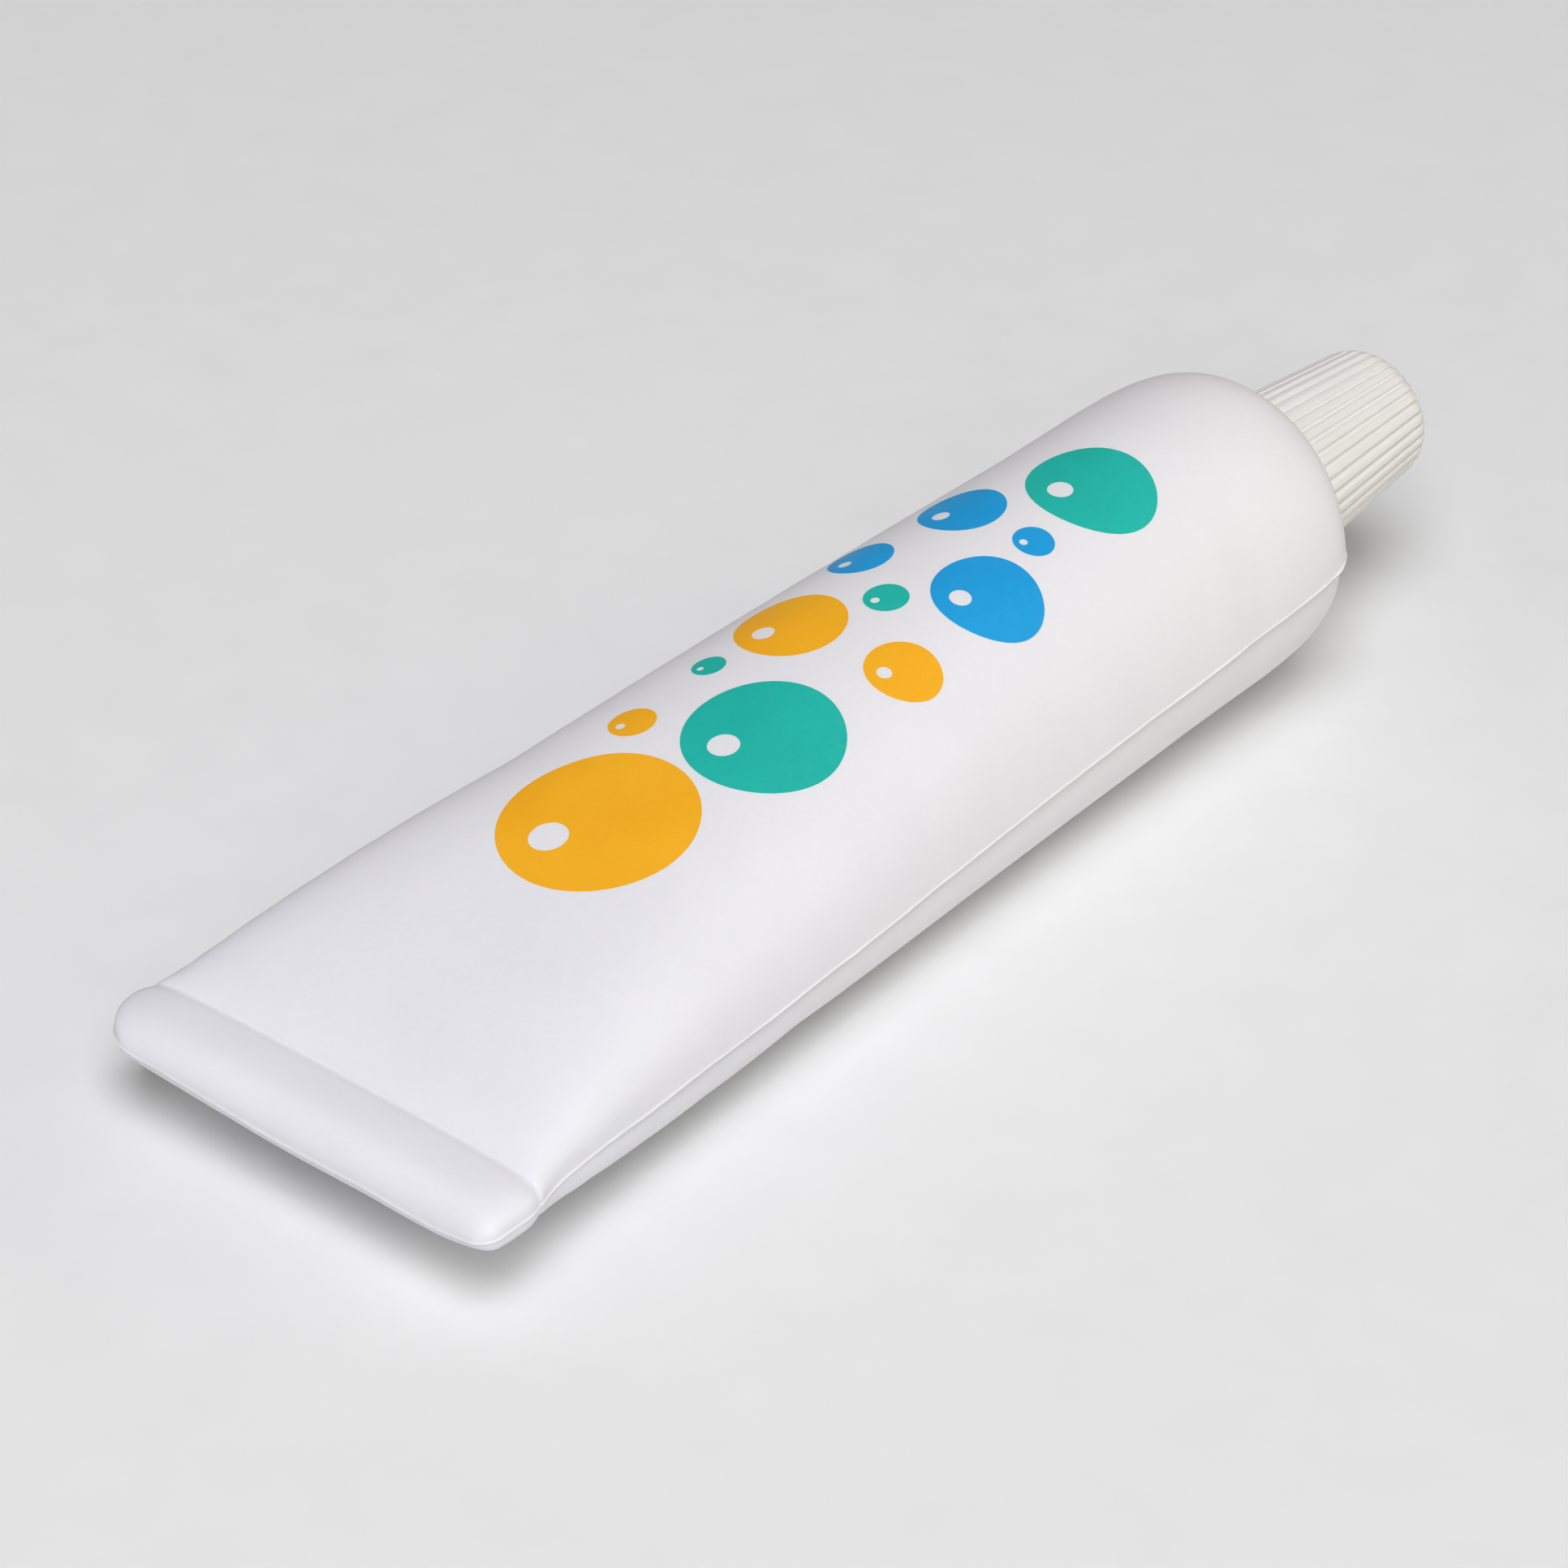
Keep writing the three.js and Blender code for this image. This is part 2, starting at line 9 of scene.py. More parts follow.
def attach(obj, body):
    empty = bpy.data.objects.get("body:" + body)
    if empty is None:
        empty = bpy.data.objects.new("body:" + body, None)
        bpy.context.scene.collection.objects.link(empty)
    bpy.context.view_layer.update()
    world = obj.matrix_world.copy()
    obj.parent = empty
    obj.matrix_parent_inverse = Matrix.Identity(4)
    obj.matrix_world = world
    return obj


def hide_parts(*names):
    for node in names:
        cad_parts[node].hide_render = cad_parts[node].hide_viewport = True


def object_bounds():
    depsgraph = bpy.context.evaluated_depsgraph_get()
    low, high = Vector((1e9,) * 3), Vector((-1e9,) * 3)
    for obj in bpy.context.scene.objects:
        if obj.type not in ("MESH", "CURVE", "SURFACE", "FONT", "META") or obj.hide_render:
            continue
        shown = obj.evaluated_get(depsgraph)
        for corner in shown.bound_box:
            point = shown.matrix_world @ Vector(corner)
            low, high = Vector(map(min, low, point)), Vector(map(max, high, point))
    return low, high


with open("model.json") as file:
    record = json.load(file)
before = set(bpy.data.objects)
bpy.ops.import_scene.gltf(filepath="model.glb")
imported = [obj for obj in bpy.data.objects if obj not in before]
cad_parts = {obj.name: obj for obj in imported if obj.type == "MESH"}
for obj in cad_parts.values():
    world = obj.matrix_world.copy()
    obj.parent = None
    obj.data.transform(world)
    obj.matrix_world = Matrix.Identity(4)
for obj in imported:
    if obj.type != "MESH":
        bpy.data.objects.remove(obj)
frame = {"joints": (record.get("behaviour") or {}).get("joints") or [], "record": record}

cad_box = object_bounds()

# ------------------------------------------------------------------ the tube's own frame
# Shapes are worked out in millimetres in the tube's own frame, as in the CAD: +X from the flat
# tail to the cap, z = 0 on the plane where the CAD's skin halves part. The record's cap end and cap
# axis place that frame.

TUBE_LENGTH = 171.5
MM = 0.001

mounts = {mount["name"]: mount for mount in frame["record"]["mounts"]}
cap_turn = next(joint for joint in frame["joints"] if joint["name"] == "cap_turn")
AXIS = Vector(cap_turn["axis"]).normalized()
ACROSS = Vector((0, 1, 0))
TAIL = Vector(mounts["cap_end_face"]["pos_m"]) - AXIS * TUBE_LENGTH * MM
TO_ROW = np.array([AXIS, ACROSS, AXIS.cross(ACROSS)]) * MM
TILT = math.atan2(AXIS.z, AXIS.x)


def to_row(points):
    """Millimetres in the tube's frame to metres in the row's frame."""
    return np.asarray(points) @ TO_ROW + np.array(TAIL)


# ------------------------------------------------------------------ sizes, in millimetres

# body, from the band to where it is round
ROUND_RADIUS = 17.5
ROUND_FROM = 132
TAIL_HALF_HEIGHT = 2.85
SWELL_POWER = 0.74
TAIL_EXTRA_WIDTH = 0.7
CREASE_EXTRA_WIDTH = 1
CREASE_FADE = 2

# tail band, and the crease behind it
BAND_LENGTH = 8.3
BAND_HALF_WIDTH = 26.7
BAND_HALF_HEIGHT = 2.95
NEAR_CORNER = 2.1
FAR_CORNER = 6
BAND_FULLNESS = 2.6
BAND_RIDGE = 4.8
BAND_BACK_POWER = 1.9
GROOVE_HALF_HEIGHT = 2.55
GROOVE_FADE = 1.6
NECK_IN = 2.6
NOTCH_DEPTH = 0.11
NOTCH_WIDTH = 0.55
NOTCH_AHEAD = 0.35

# how boxy a section is, at stations along the tube
SQUARENESS_AT = (BAND_LENGTH, 50, 120)
SQUARENESS = (4.3, 2.55, 2)

# shoulder
SHOULDER_FROM = 125
SHOULDER_END = 146.8
SHOULDER_INNER_RADIUS = 8.8
SHOULDER_SQUARENESS = 4.2
SKIN_HOLE_RADIUS = 9.3

# clearance between parts
GAP = 0.3

# layers of the wall, as depths below the surface, and the stations where they start and end
SKIN_THICKNESS = 1.3
BARRIER_OUTSIDE = 1.6
BARRIER_INSIDE = 1.95
LINER_OUTSIDE = 2.25
LINER_INSIDE = 2.7
CREAM_OUTSIDE = 3
SLOT_HALF_HEIGHT = 0.95
SLOT_PAST_BAND = 0.7
TAIL_WALL = 1.6
TONGUE_PAST_BAND = 0.8
BARRIER_FROM = 8.8
LINER_FROM = 9.4
LINER_INSIDE_FROM = 10.4
CREAM_FROM = 15
SLEEVE_FRONT = 133

# flat strip that the tube lies on
FLAT_CENTRE = 88
FLAT_DEPTH = 1.1
FLAT_SOFTNESS = 0.35
FLAT_REACH = 3

# head, insert and foil
SKIRT_RADIUS = 14.5
SKIRT_FROM = 127
HEAD_WALL = 1.2
COLLAR_RADIUS = 8.9
COLLAR_TOP = 146.9
NECK_RADIUS = 4.6
NECK_TOP = 158
NOZZLE_RADIUS = 2.6
CEILING_HOLE_RADIUS = NOZZLE_RADIUS + 1
DOME_LEAD = 1
INSERT_WALL = 0.5
INSERT_HOLE_RADIUS = NOZZLE_RADIUS + 0.6
FOIL_RADIUS = 4.5
FOIL_THICKNESS = 0.2

# thread of the neck and the cap
PITCH = 3
THREAD_CREST_RADIUS = 5.6
THREAD_ROOT_WIDTH = 1.5
THREAD_CREST_WIDTH = 0.7
THREAD_FROM = 149.4
THREAD_TURNS = 2.4
THREAD_RUN_OUT = 0.12

# cap and wad
CAP_FROM = 147.3
CAP_BASE_RADIUS = 9.8
CAP_END_RADIUS = 7.5
CAP_CORNER = 3.4
FLUTES = 36
FLUTE_DEPTH = 0.5
FLUTE_HALF_ANGLE = math.radians(2.9)
CAP_BORE_RADIUS = 6
CAP_CREST_RADIUS = 4.95
CAP_THREAD_TURNS = 2.3
CAP_END_WALL = 1.8
CAP_HOLLOW_RADIUS = 4.2
CORE_INNER_RADIUS = 7.2
CORE_DEPTH = 7
CAP_SKIN = 1.25
WAD_THICKNESS = 1.4
WAD_RADIUS = 5.6

# softened edges, as (across, along) offsets from the sharp corner, in the order of the profile
COLLAR_EDGE = ((0, 0.15), (0.15, 0))
NECK_FOOT = ((0.5, 0), (0.14, 0.14), (0, 0.5))
RIM_OUTSIDE = ((0, 0.4), (0.1, 0.12), (0.35, 0))
RIM_INSIDE = ((0.3, 0), (0.08, 0.08), (0, 0.3))
CAP_LIP = ((0.03, 0.2), (0.12, 0.06), (0.3, 0))
CORE_MOUTH_OUTSIDE = ((0.1, 0), (0, 0.12))
CORE_MOUTH_INSIDE = ((0, 0.15), (0.15, 0))
CORE_END_OUTSIDE = ((0, 0.2), (0.15, 0))
CORE_END_INSIDE = ((0.1, 0), (0, 0.15))
BORE_MOUTH = ((0.4, 0), (0.12, 0.12), (0, 0.4))
LEDGE_EDGE = ((0.1, 0), (0, 0.1))
HOLLOW_CORNER = ((0, 0.5), (0.5, 0))
WAD_EDGE = ((0.3, 0), (0.1, 0.08), (0, 0.3))

# parting line: how far it runs below the middle of the flanks, and of the tail's front edge
SEAM_GAP = 0.015
SEAM_DROP = 2
SEAM_DROP_END = 168
FRONT_DROP = 0.8
FRONT_DROP_LENGTH = 2.5
FRONT_DROP_NEAR = -27
FRONT_DROP_NEAR_RISE = 7
FRONT_DROP_FAR = 25
FRONT_DROP_FAR_RISE = 26
LIFT_REACH = 2.2
LIFT_REACH_SHARE = 0.33
INNER_LIFT_RISE = 6

# moulding flash on the upper half, with its nibs as (x, y, size, extra height), and the undercut of
# the lower half below it
FLASH_HEIGHT = 0.13
FLASH_WIDTH = 0.13
FLASH_NIBS = ((142.5, -17, 1.3, 0.18), (1, 26, 1, 0.3))
UNDERCUT = 0.8
UNDERCUT_FADE = 6
UNDERCUT_FROM = 10
UNDERCUT_RISE = 28

# unevenness, as layers of (height, size of lumps, seed); the flash's heights are shares of its own
SEAM_WAVER = ((0.22, 13, 3.1), (0.07, 4, 7.7))
FLASH_WAVER = ((0.5, 9, 1.3), (0.45, 1.7, 5.9))
SKIN_WAVER = ((0.08, 26, 2.2), (0.018, 8, 4.4))


# ------------------------------------------------------------------ outer shape of the tube

def smooth(k):
    """Smooth step from 0 to 1."""
    k = np.clip(k, 0, 1)
    return k * k * (3 - 2 * k)


def body_share(x):
    """Share of the way from the band to where the body is round."""
    return np.clip((x - BAND_LENGTH) / (ROUND_FROM - BAND_LENGTH), 0, 1)


def body_half_height(x):
    """Half height of the body, without the groove and the notch behind the band."""
    swell = np.sin(body_share(x) ** SWELL_POWER * np.pi / 2)
    return TAIL_HALF_HEIGHT + (ROUND_RADIUS - TAIL_HALF_HEIGHT) * swell


def body_half_width(x):
    """Half width that keeps the body's girth about the same, slightly wider towards the tail."""
    height = body_half_height(x)
    stretch = TAIL_EXTRA_WIDTH * (1 - body_share(x))
    stretch += CREASE_EXTRA_WIDTH * np.exp(-np.maximum(x - BAND_LENGTH, 0) / CREASE_FADE)
    return np.sqrt(2 * ROUND_RADIUS ** 2 - height ** 2) + stretch


def notch(x):
    """Narrow notch where the tail band meets the body."""
    return NOTCH_DEPTH * np.exp(-((x - BAND_LENGTH + NOTCH_AHEAD) / NOTCH_WIDTH) ** 2)


def corner_drop(x, radius):
    """How far a rounded corner of the tail draws the edge in at a station."""
    c = 1 - np.clip(x / radius, 0, 1)
    return radius * (1 - np.sqrt(1 - c * c))


def far_trim(x):
    """The tail's +Y corner is rounder than the other: how much narrower that side is."""
    return corner_drop(x, FAR_CORNER) - corner_drop(x, NEAR_CORNER)


def half_height(x):
    """Half height of the band, with a long slope behind its ridge, and of the body after it."""
    x = np.asarray(x, float)
    front = np.clip(1 - x / BAND_RIDGE, 0, 1)
    back = np.clip((x - BAND_RIDGE) / (BAND_LENGTH - BAND_RIDGE), 0, 1)
    band = BAND_HALF_HEIGHT * np.sqrt(1 - front ** BAND_FULLNESS)
    band = band - (BAND_HALF_HEIGHT - GROOVE_HALF_HEIGHT) * back ** BAND_BACK_POWER
    sunk = np.exp(-np.maximum(x - BAND_LENGTH, 0) / GROOVE_FADE)
    body = body_half_height(x) - (TAIL_HALF_HEIGHT - GROOVE_HALF_HEIGHT) * sunk
    return np.where(x <= BAND_LENGTH, band, body) - notch(x)


def half_width(x):
    """Half width of the band and the body; the far side of the tail is trimmed by far_trim."""
    x = np.asarray(x, float)
    blend = smooth((x - BAND_LENGTH) / NECK_IN + 1)
    band = BAND_HALF_WIDTH - corner_drop(x, NEAR_CORNER) - notch(x)
    return band + (body_half_width(x) - BAND_HALF_WIDTH) * blend


def squareness(x):
    """Exponent of a section's superellipse: 2 is an ellipse, and more is boxier."""
    return np.interp(x, SQUARENESS_AT, SQUARENESS)


def floor_depth(x):
    """Distance from the axis down to the surface that the tube lies on."""
    return float(body_half_height(FLAT_CENTRE)) - FLAT_DEPTH + (x - FLAT_CENTRE) * math.tan(TILT)


def shoulder_angle(radius):
    """Angle along the shoulder's curve at which it has the given radius."""
    g = (radius - SHOULDER_INNER_RADIUS) / (ROUND_RADIUS - SHOULDER_INNER_RADIUS)
    return math.acos(g ** (SHOULDER_SQUARENESS / 2))


def body_section(x, inset):
    """(x, half width, half height) of the section that lies `inset` below the surface at x."""
    step = 0.02
    slope = float(half_height(x + step) - half_height(x - step)) / (2 * step)
    length = math.hypot(1, slope)
    at = x + inset * slope / length
    return at, float(half_width(at)) - inset, float(half_height(x)) - inset / length


def shoulder_section(angle, inset):
    """(x, half width, half height) at an angle along the shoulder, `inset` below its surface."""
    along = SHOULDER_END - SHOULDER_FROM
    across = ROUND_RADIUS - SHOULDER_INNER_RADIUS
    e = math.sin(angle) ** (2 / SHOULDER_SQUARENESS)
    g = max(math.cos(angle), 0) ** (2 / SHOULDER_SQUARENESS)
    nx = e ** (SHOULDER_SQUARENESS - 1) / along
    nr = g ** (SHOULDER_SQUARENESS - 1) / across
    length = math.hypot(nx, nr)
    radius = SHOULDER_INNER_RADIUS + across * g - inset * nr / length
    return SHOULDER_FROM + along * e - inset * nx / length, radius, radius


def outline(section, inset, start, end, count=721):
    """Dense points of a section between two angles from +Y towards +Z, above the resting strip."""
    x, width, height = section
    power = 2 / squareness(x)
    angle = np.linspace(start, end, count)
    c, s = np.cos(angle), np.sin(angle)
    reach = width - np.where(c > 0, far_trim(x), 0)
    y = reach * np.sign(c) * np.abs(c) ** power
    z = height * np.sign(s) * np.abs(s) ** power
    floor = inset - floor_depth(x)
    soft = (z + floor + np.sqrt((z - floor) ** 2 + FLAT_SOFTNESS ** 2)) / 2
    z = np.where((z < 0) & (z <= floor + FLAT_REACH), soft, z)
    return np.stack([np.full(count, x), y, z], 1)


def resample(points, distances):
    """Points at the given distances along a polyline."""
    steps = np.linalg.norm(np.diff(points, axis=0), axis=1)
    along = np.concatenate([[0], np.cumsum(steps)])
    return np.stack([np.interp(distances, along, points[:, k]) for k in range(3)], 1)


def length_of(points):
    """Length of a polyline."""
    return float(np.linalg.norm(np.diff(points, axis=0), axis=1).sum())


# ------------------------------------------------------------------ mesh helpers

def make_object(name, points, faces, sharp_degrees=40):
    """Smooth-shaded object; edges that turn more than sharp_degrees stay sharp."""
    mesh = bpy.data.meshes.new(name)
    mesh.from_pydata(to_row(points).tolist(), [], [list(map(int, face)) for face in faces])
    mesh.validate()
    mesh.update()
    mesh.polygons.foreach_set("use_smooth", [True] * len(mesh.polygons))
    mesh.set_sharp_from_angle(angle=math.radians(sharp_degrees))
    piece = bpy.data.objects.new(name, mesh)
    bpy.context.scene.collection.objects.link(piece)
    return piece


def grid_faces(rows, columns, start=0, wrap=False, flip=False):
    """Quads of a grid of points; a wrapped grid joins its last column to its first."""
    i, j = np.meshgrid(np.arange(rows - 1), np.arange(columns if wrap else columns - 1), indexing="ij")
    a = start + i * columns + j
    b = start + i * columns + (j + 1) % columns
    quads = np.stack([a, b, b + columns, a + columns], -1).reshape(-1, 4)
    return quads[:, ::-1] if flip else quads


def loft(name, rings, sharp_degrees=40):
    """Closed solid through a stack of rings, with a fan over the first and the last."""
    rings = np.asarray(rings)
    rows, columns = rings.shape[:2]
    points = rings.reshape(-1, 3)
    centres = np.stack([rings[0].mean(0), rings[-1].mean(0)])
    first, last = len(points), len(points) + 1
    faces = grid_faces(rows, columns, wrap=True).tolist()
    end = (rows - 1) * columns
    for j in range(columns):
        k = (j + 1) % columns
        faces.append((first, k, j))
        faces.append((last, end + j, end + k))
    return make_object(name, np.concatenate([points, centres]), faces, sharp_degrees)


def revolved(profile, angles, relief=None):
    """Rings of a profile of (radius, x) points turned about the axis; relief(r, x, angle) adds height."""
    profile = np.asarray(profile, float)
    radius = np.repeat(profile[:, :1], len(angles), 1)
    x = np.repeat(profile[:, 1:], len(angles), 1)
    angle = np.repeat(np.asarray(angles)[None, :], len(profile), 0)
    if relief is not None:
        radius = radius + relief(radius, x, angle)
    return np.stack([x, radius * np.cos(angle), radius * np.sin(angle)], -1)


def lathe_ring(name, profile, columns, relief=None, sharp_degrees=40):
    """Solid of revolution whose profile is a closed loop that stays off the axis."""
    angles = np.linspace(0, 2 * np.pi, columns, endpoint=False)
    rings = revolved(profile, angles, relief)
    rows = len(rings)
    closed = np.concatenate([rings, rings[:1]])
    faces = grid_faces(rows + 1, columns, wrap=True) % (rows * columns)
    return make_object(name, closed[:rows].reshape(-1, 3), faces, sharp_degrees)


def steps_between(points, step):
    """A polyline of (r, x) points with extra points, so that no stretch is longer than step."""
    out = []
    for (r0, x0), (r1, x1) in zip(points, points[1:]):
        count = max(1, math.ceil(math.hypot(r1 - r0, x1 - x0) / step))
        out.extend((r0 + (r1 - r0) * k / count, x0 + (x1 - x0) * k / count) for k in range(count))
    return out + [points[-1]]


def soft_corner(radius, x, offsets, outwards=1, forwards=1):
    """(r, x) points of a softened corner; -1 turns its offsets inwards or backwards."""
    return [(radius + outwards * across, x + forwards * along) for across, along in offsets]


def thread_height(x, angle, start, turns):
    """Share of full thread height at a station and an angle, from 0 to 1."""
    phase = (angle / (2 * np.pi)) % 1
    turn = phase + np.round((x - start) / PITCH - phase)
    offset = np.abs(x - start - PITCH * turn)
    flank = (THREAD_ROOT_WIDTH / 2 - offset) / ((THREAD_ROOT_WIDTH - THREAD_CREST_WIDTH) / 2)
    fade = smooth(np.minimum(turn, turns - turn) / THREAD_RUN_OUT)
    return smooth(flank) * fade


def field(points, scale, seed):
    """Smooth noise of about -1 to 1 at each point; scale is the size of its lumps in millimetres."""
    flat = np.asarray(points).reshape(-1, 3) / scale + seed
    values = [noise.noise(Vector(p)) for p in flat]
    return np.array(values).reshape(np.asarray(points).shape[:-1])


def waver(points, layers):
    """Sum of layers of smooth noise, each of them (height, size of lumps, seed)."""
    return sum(height * field(points, size, seed) for height, size, seed in layers)


# ------------------------------------------------------------------ skin

EDGE_DISTANCES = np.array([0, 0.05, 0.1, 0.15, 0.21, 0.29, 0.4, 0.6, 0.9, 1.3, 1.8, 2.4, 3.2])
MIDDLE_COLUMNS = 44
SHORTEST_NORMAL = 1e-9

# rows of the skin's mesh: the rounded end, stretches of (from, to, step), and the shoulder
TAIL_ROWS = 26
TAIL_CROWDING = 2.2
ROW_STRETCHES = (
    (BAND_LENGTH / 2 + 0.25, BAND_LENGTH - 1, 0.25),
    (BAND_LENGTH - 0.95, BAND_LENGTH + 1.6, 0.08),
    (BAND_LENGTH + 1.75, 15, 0.25),
    (15.5, SHOULDER_FROM, 1.1),
)
SHOULDER_ROWS = 60


def column_distances(length):
    """Distances across half a section: close together beside the parting line, even elsewhere."""
    middle = np.linspace(EDGE_DISTANCES[-1], length - EDGE_DISTANCES[-1], MIDDLE_COLUMNS)[1:-1]
    return np.concatenate([EDGE_DISTANCES, middle, (length - EDGE_DISTANCES)[::-1]])


def skin_stations():
    """Stations along the body, closer together at the tail's rounded end and at the crease."""
    tail = BAND_LENGTH / 2 * np.linspace(0, 1, TAIL_ROWS) ** TAIL_CROWDING
    stretches = [np.arange(start, stop, step) for start, stop, step in ROW_STRETCHES]
    return np.concatenate([tail, *stretches])


def skin_sections():
    """(outer section, inner section) for every row, from the tail to the neck hole."""
    rows = []
    for x in skin_stations():
        outer = (x, float(half_width(x)), float(half_height(x)))
        if x <= BAND_LENGTH:
            at = TAIL_WALL + x * (BAND_LENGTH + SLOT_PAST_BAND - TAIL_WALL) / BAND_LENGTH
            inner = (at, float(half_width(at)) - SKIN_THICKNESS, SLOT_HALF_HEIGHT)
        else:
            inner = body_section(x, SKIN_THICKNESS)
        rows.append((outer, inner))
    last = shoulder_angle(SKIN_HOLE_RADIUS)
    for angle in np.linspace(0, last, SHOULDER_ROWS):
        rows.append((shoulder_section(angle, 0), shoulder_section(angle, SKIN_THICKNESS)))
    return rows


def surface_normals(points, side):
    """Outward normals of a half-skin grid."""
    along = np.gradient(points, axis=0)
    across = np.gradient(points, axis=1)
    normal = np.cross(across, along) * side
    return normal / np.maximum(np.linalg.norm(normal, axis=-1, keepdims=True), SHORTEST_NORMAL)


def seam_lift(points):
    """How far the parting line runs off the middle plane, with a gentle waver."""
    x, y = points[..., 0], points[..., 1]
    across = smooth((FRONT_DROP_FAR - y) / FRONT_DROP_FAR_RISE)
    across = across * smooth((y - FRONT_DROP_NEAR) / FRONT_DROP_NEAR_RISE)
    front = FRONT_DROP * across * np.exp(-(x / FRONT_DROP_LENGTH) ** 2)
    along = np.clip((x - BAND_LENGTH) / (SEAM_DROP_END - BAND_LENGTH), 0, 1)
    return waver(points * (1, 1, 0), SEAM_WAVER) - front - SEAM_DROP * np.sin(math.pi * along)


def flash_height(points):
    """Height of the moulding flash: uneven along its length, with a nib at two of its corners."""
    height = FLASH_HEIGHT * (1 + waver(points * (1, 1, 0), FLASH_WAVER))
    for x, y, size, extra in FLASH_NIBS:
        away = (points[..., 0] - x) ** 2 + (points[..., 1] - y) ** 2
        height = height + extra * np.exp(-away / size ** 2)
    return height


def skin_relief(points):
    """Soft unevenness of the moulded skin, in millimetres along the normal."""
    return waver(points, SKIN_WAVER)


def skin_grids(side):
    """Outer and inner grids of a skin half, and how far each outer point is from the parting line."""
    outer, inner, from_edge, from_tail = [], [], [], []
    travelled, previous = 0, None
    for outer_section, inner_section in skin_sections():
        line = outline(outer_section, 0, 0, side * np.pi)
        length = length_of(line)
        distances = column_distances(length)
        outer.append(resample(line, distances))
        core = outline(inner_section, SKIN_THICKNESS, 0, side * np.pi)
        inner.append(resample(core, distances * length_of(core) / length))
        from_edge.append(np.minimum(distances, length - distances))
        crown = (outer_section[0], outer_section[2])
        if previous is not None:
            travelled += math.hypot(crown[0] - previous[0], crown[1] - previous[1])
        from_tail.append(travelled)
        previous = crown
    from_seam = np.minimum(np.array(from_edge), np.array(from_tail)[:, None])
    return np.array(outer), np.array(inner), from_seam


def shell_faces(rows, columns):
    """Faces of an outer grid, the inner grid after it, and the wall that joins their borders."""
    count = rows * columns
    index = np.arange(count).reshape(rows, columns)
    border = np.concatenate([index[0, :], index[1:, -1], index[-1, -2::-1], index[-2:0:-1, 0]])
    following = np.roll(border, -1)
    wall = np.stack([border, border + count, following + count, following], -1)
    return np.concatenate([grid_faces(rows, columns), grid_faces(rows, columns, count, flip=True), wall])


def half_skin(name, side):
    """Closed shell of the upper skin half (side 1), which has the flash, or the lower one (side -1)."""
    base, inner, from_seam = skin_grids(side)
    x = base[..., 0]
    if side > 0:
        edge = flash_height(base) * np.exp(-(from_seam / FLASH_WIDTH) ** 2)
    else:
        growing = smooth((x - UNDERCUT_FROM) / UNDERCUT_RISE)
        edge = -UNDERCUT * growing * np.exp(-from_seam / UNDERCUT_FADE)
    displacement = skin_relief(base) + edge
    outer = base + surface_normals(base, side) * displacement[..., None]
    reach = LIFT_REACH + LIFT_REACH_SHARE * half_height(x)
    lift = seam_lift(base) * np.exp(-(from_seam / reach) ** 2)
    outer[..., 2] += lift + side * SEAM_GAP
    inner[..., 2] += lift * smooth((x - BAND_LENGTH) / INNER_LIFT_RISE)
    inner[..., 2] += side * SEAM_GAP
    faces = shell_faces(*base.shape[:2])
    if side < 0:
        faces = faces[:, ::-1]
    points = np.concatenate([outer.reshape(-1, 3), inner.reshape(-1, 3)])
    return make_object(name, points, faces, sharp_degrees=60)


# ------------------------------------------------------------------ printed motif

INK_LIFT = 0.03
INK_DEPTH = 0.1
INK_CELL = 0.7
INK_MIN_ROWS = 4
INK_MIN_COLUMNS = 48
INK_COLUMNS_PER_MM = 16


def upper_surface(xy):
    """Points and normals of the upper skin, relief included, over plan positions."""
    def height(at):
        x, y = at[:, 0], at[:, 1]
        n = squareness(x)
        return half_height(x) * (1 - np.abs(y / half_width(x)) ** n) ** (1 / n)

    def spot(at):
        return np.stack([at[:, 0], at[:, 1], height(at)], 1)

    step = 0.05
    along = spot(xy + (step, 0)) - spot(xy - (step, 0))
    across = spot(xy + (0, step)) - spot(xy - (0, step))
    normal = np.cross(along, across)
    normal /= np.linalg.norm(normal, axis=1, keepdims=True)
    base = spot(xy)
    return base + normal * skin_relief(base)[:, None], normal


def bubble_plan(centre, radius, glint):
    """Plan rings from a bubble's glint out to its rim; glint is (direction, distance, radius)."""
    direction, distance, inner = glint
    columns = max(INK_MIN_COLUMNS, int(radius * INK_COLUMNS_PER_MM))
    rows = max(INK_MIN_ROWS, math.ceil(radius / INK_CELL))
    angle = np.linspace(0, 2 * np.pi, columns, endpoint=False)
    c, s = np.cos(angle - direction), np.sin(angle - direction)
    rim = np.sqrt(radius ** 2 - (distance * s) ** 2) - distance * c
    radii = inner + (rim - inner) * np.linspace(0, 1, rows + 1)[:, None]
    start = np.array(centre) + distance * np.array([math.cos(direction), math.sin(direction)])
    return start + np.stack([radii * np.cos(angle), radii * np.sin(angle)], -1)


def ink_bubble(name, centre, radius, glint, material):
    """A thin bubble of ink laid over the curved skin, with an open glint off its middle."""
    plan = bubble_plan(centre, radius, glint)
    rows, columns = plan.shape[:2]
    surface, normal = upper_surface(plan.reshape(-1, 2))
    top = surface + normal * INK_LIFT
    bottom = surface - normal * INK_DEPTH
    count = rows * columns
    upper = grid_faces(rows, columns, wrap=True)
    lower = upper[:, ::-1] + count
    j = np.arange(columns)
    k = (j + 1) % columns
    end = count - columns
    inner_wall = np.stack([j, j + count, k + count, k], -1)
    outer_wall = np.stack([k, k + count, j + count, j], -1) + end
    faces = np.concatenate([upper, lower, inner_wall, outer_wall])
    piece = make_object(name, np.concatenate([top, bottom]), faces[:, ::-1], sharp_degrees=50)
    piece.data.materials.append(material)
    return piece


# ------------------------------------------------------------------ layers under the skin

RING_COLUMNS = 96
TONGUE_ROWS = 12
DOME_ROWS = 48


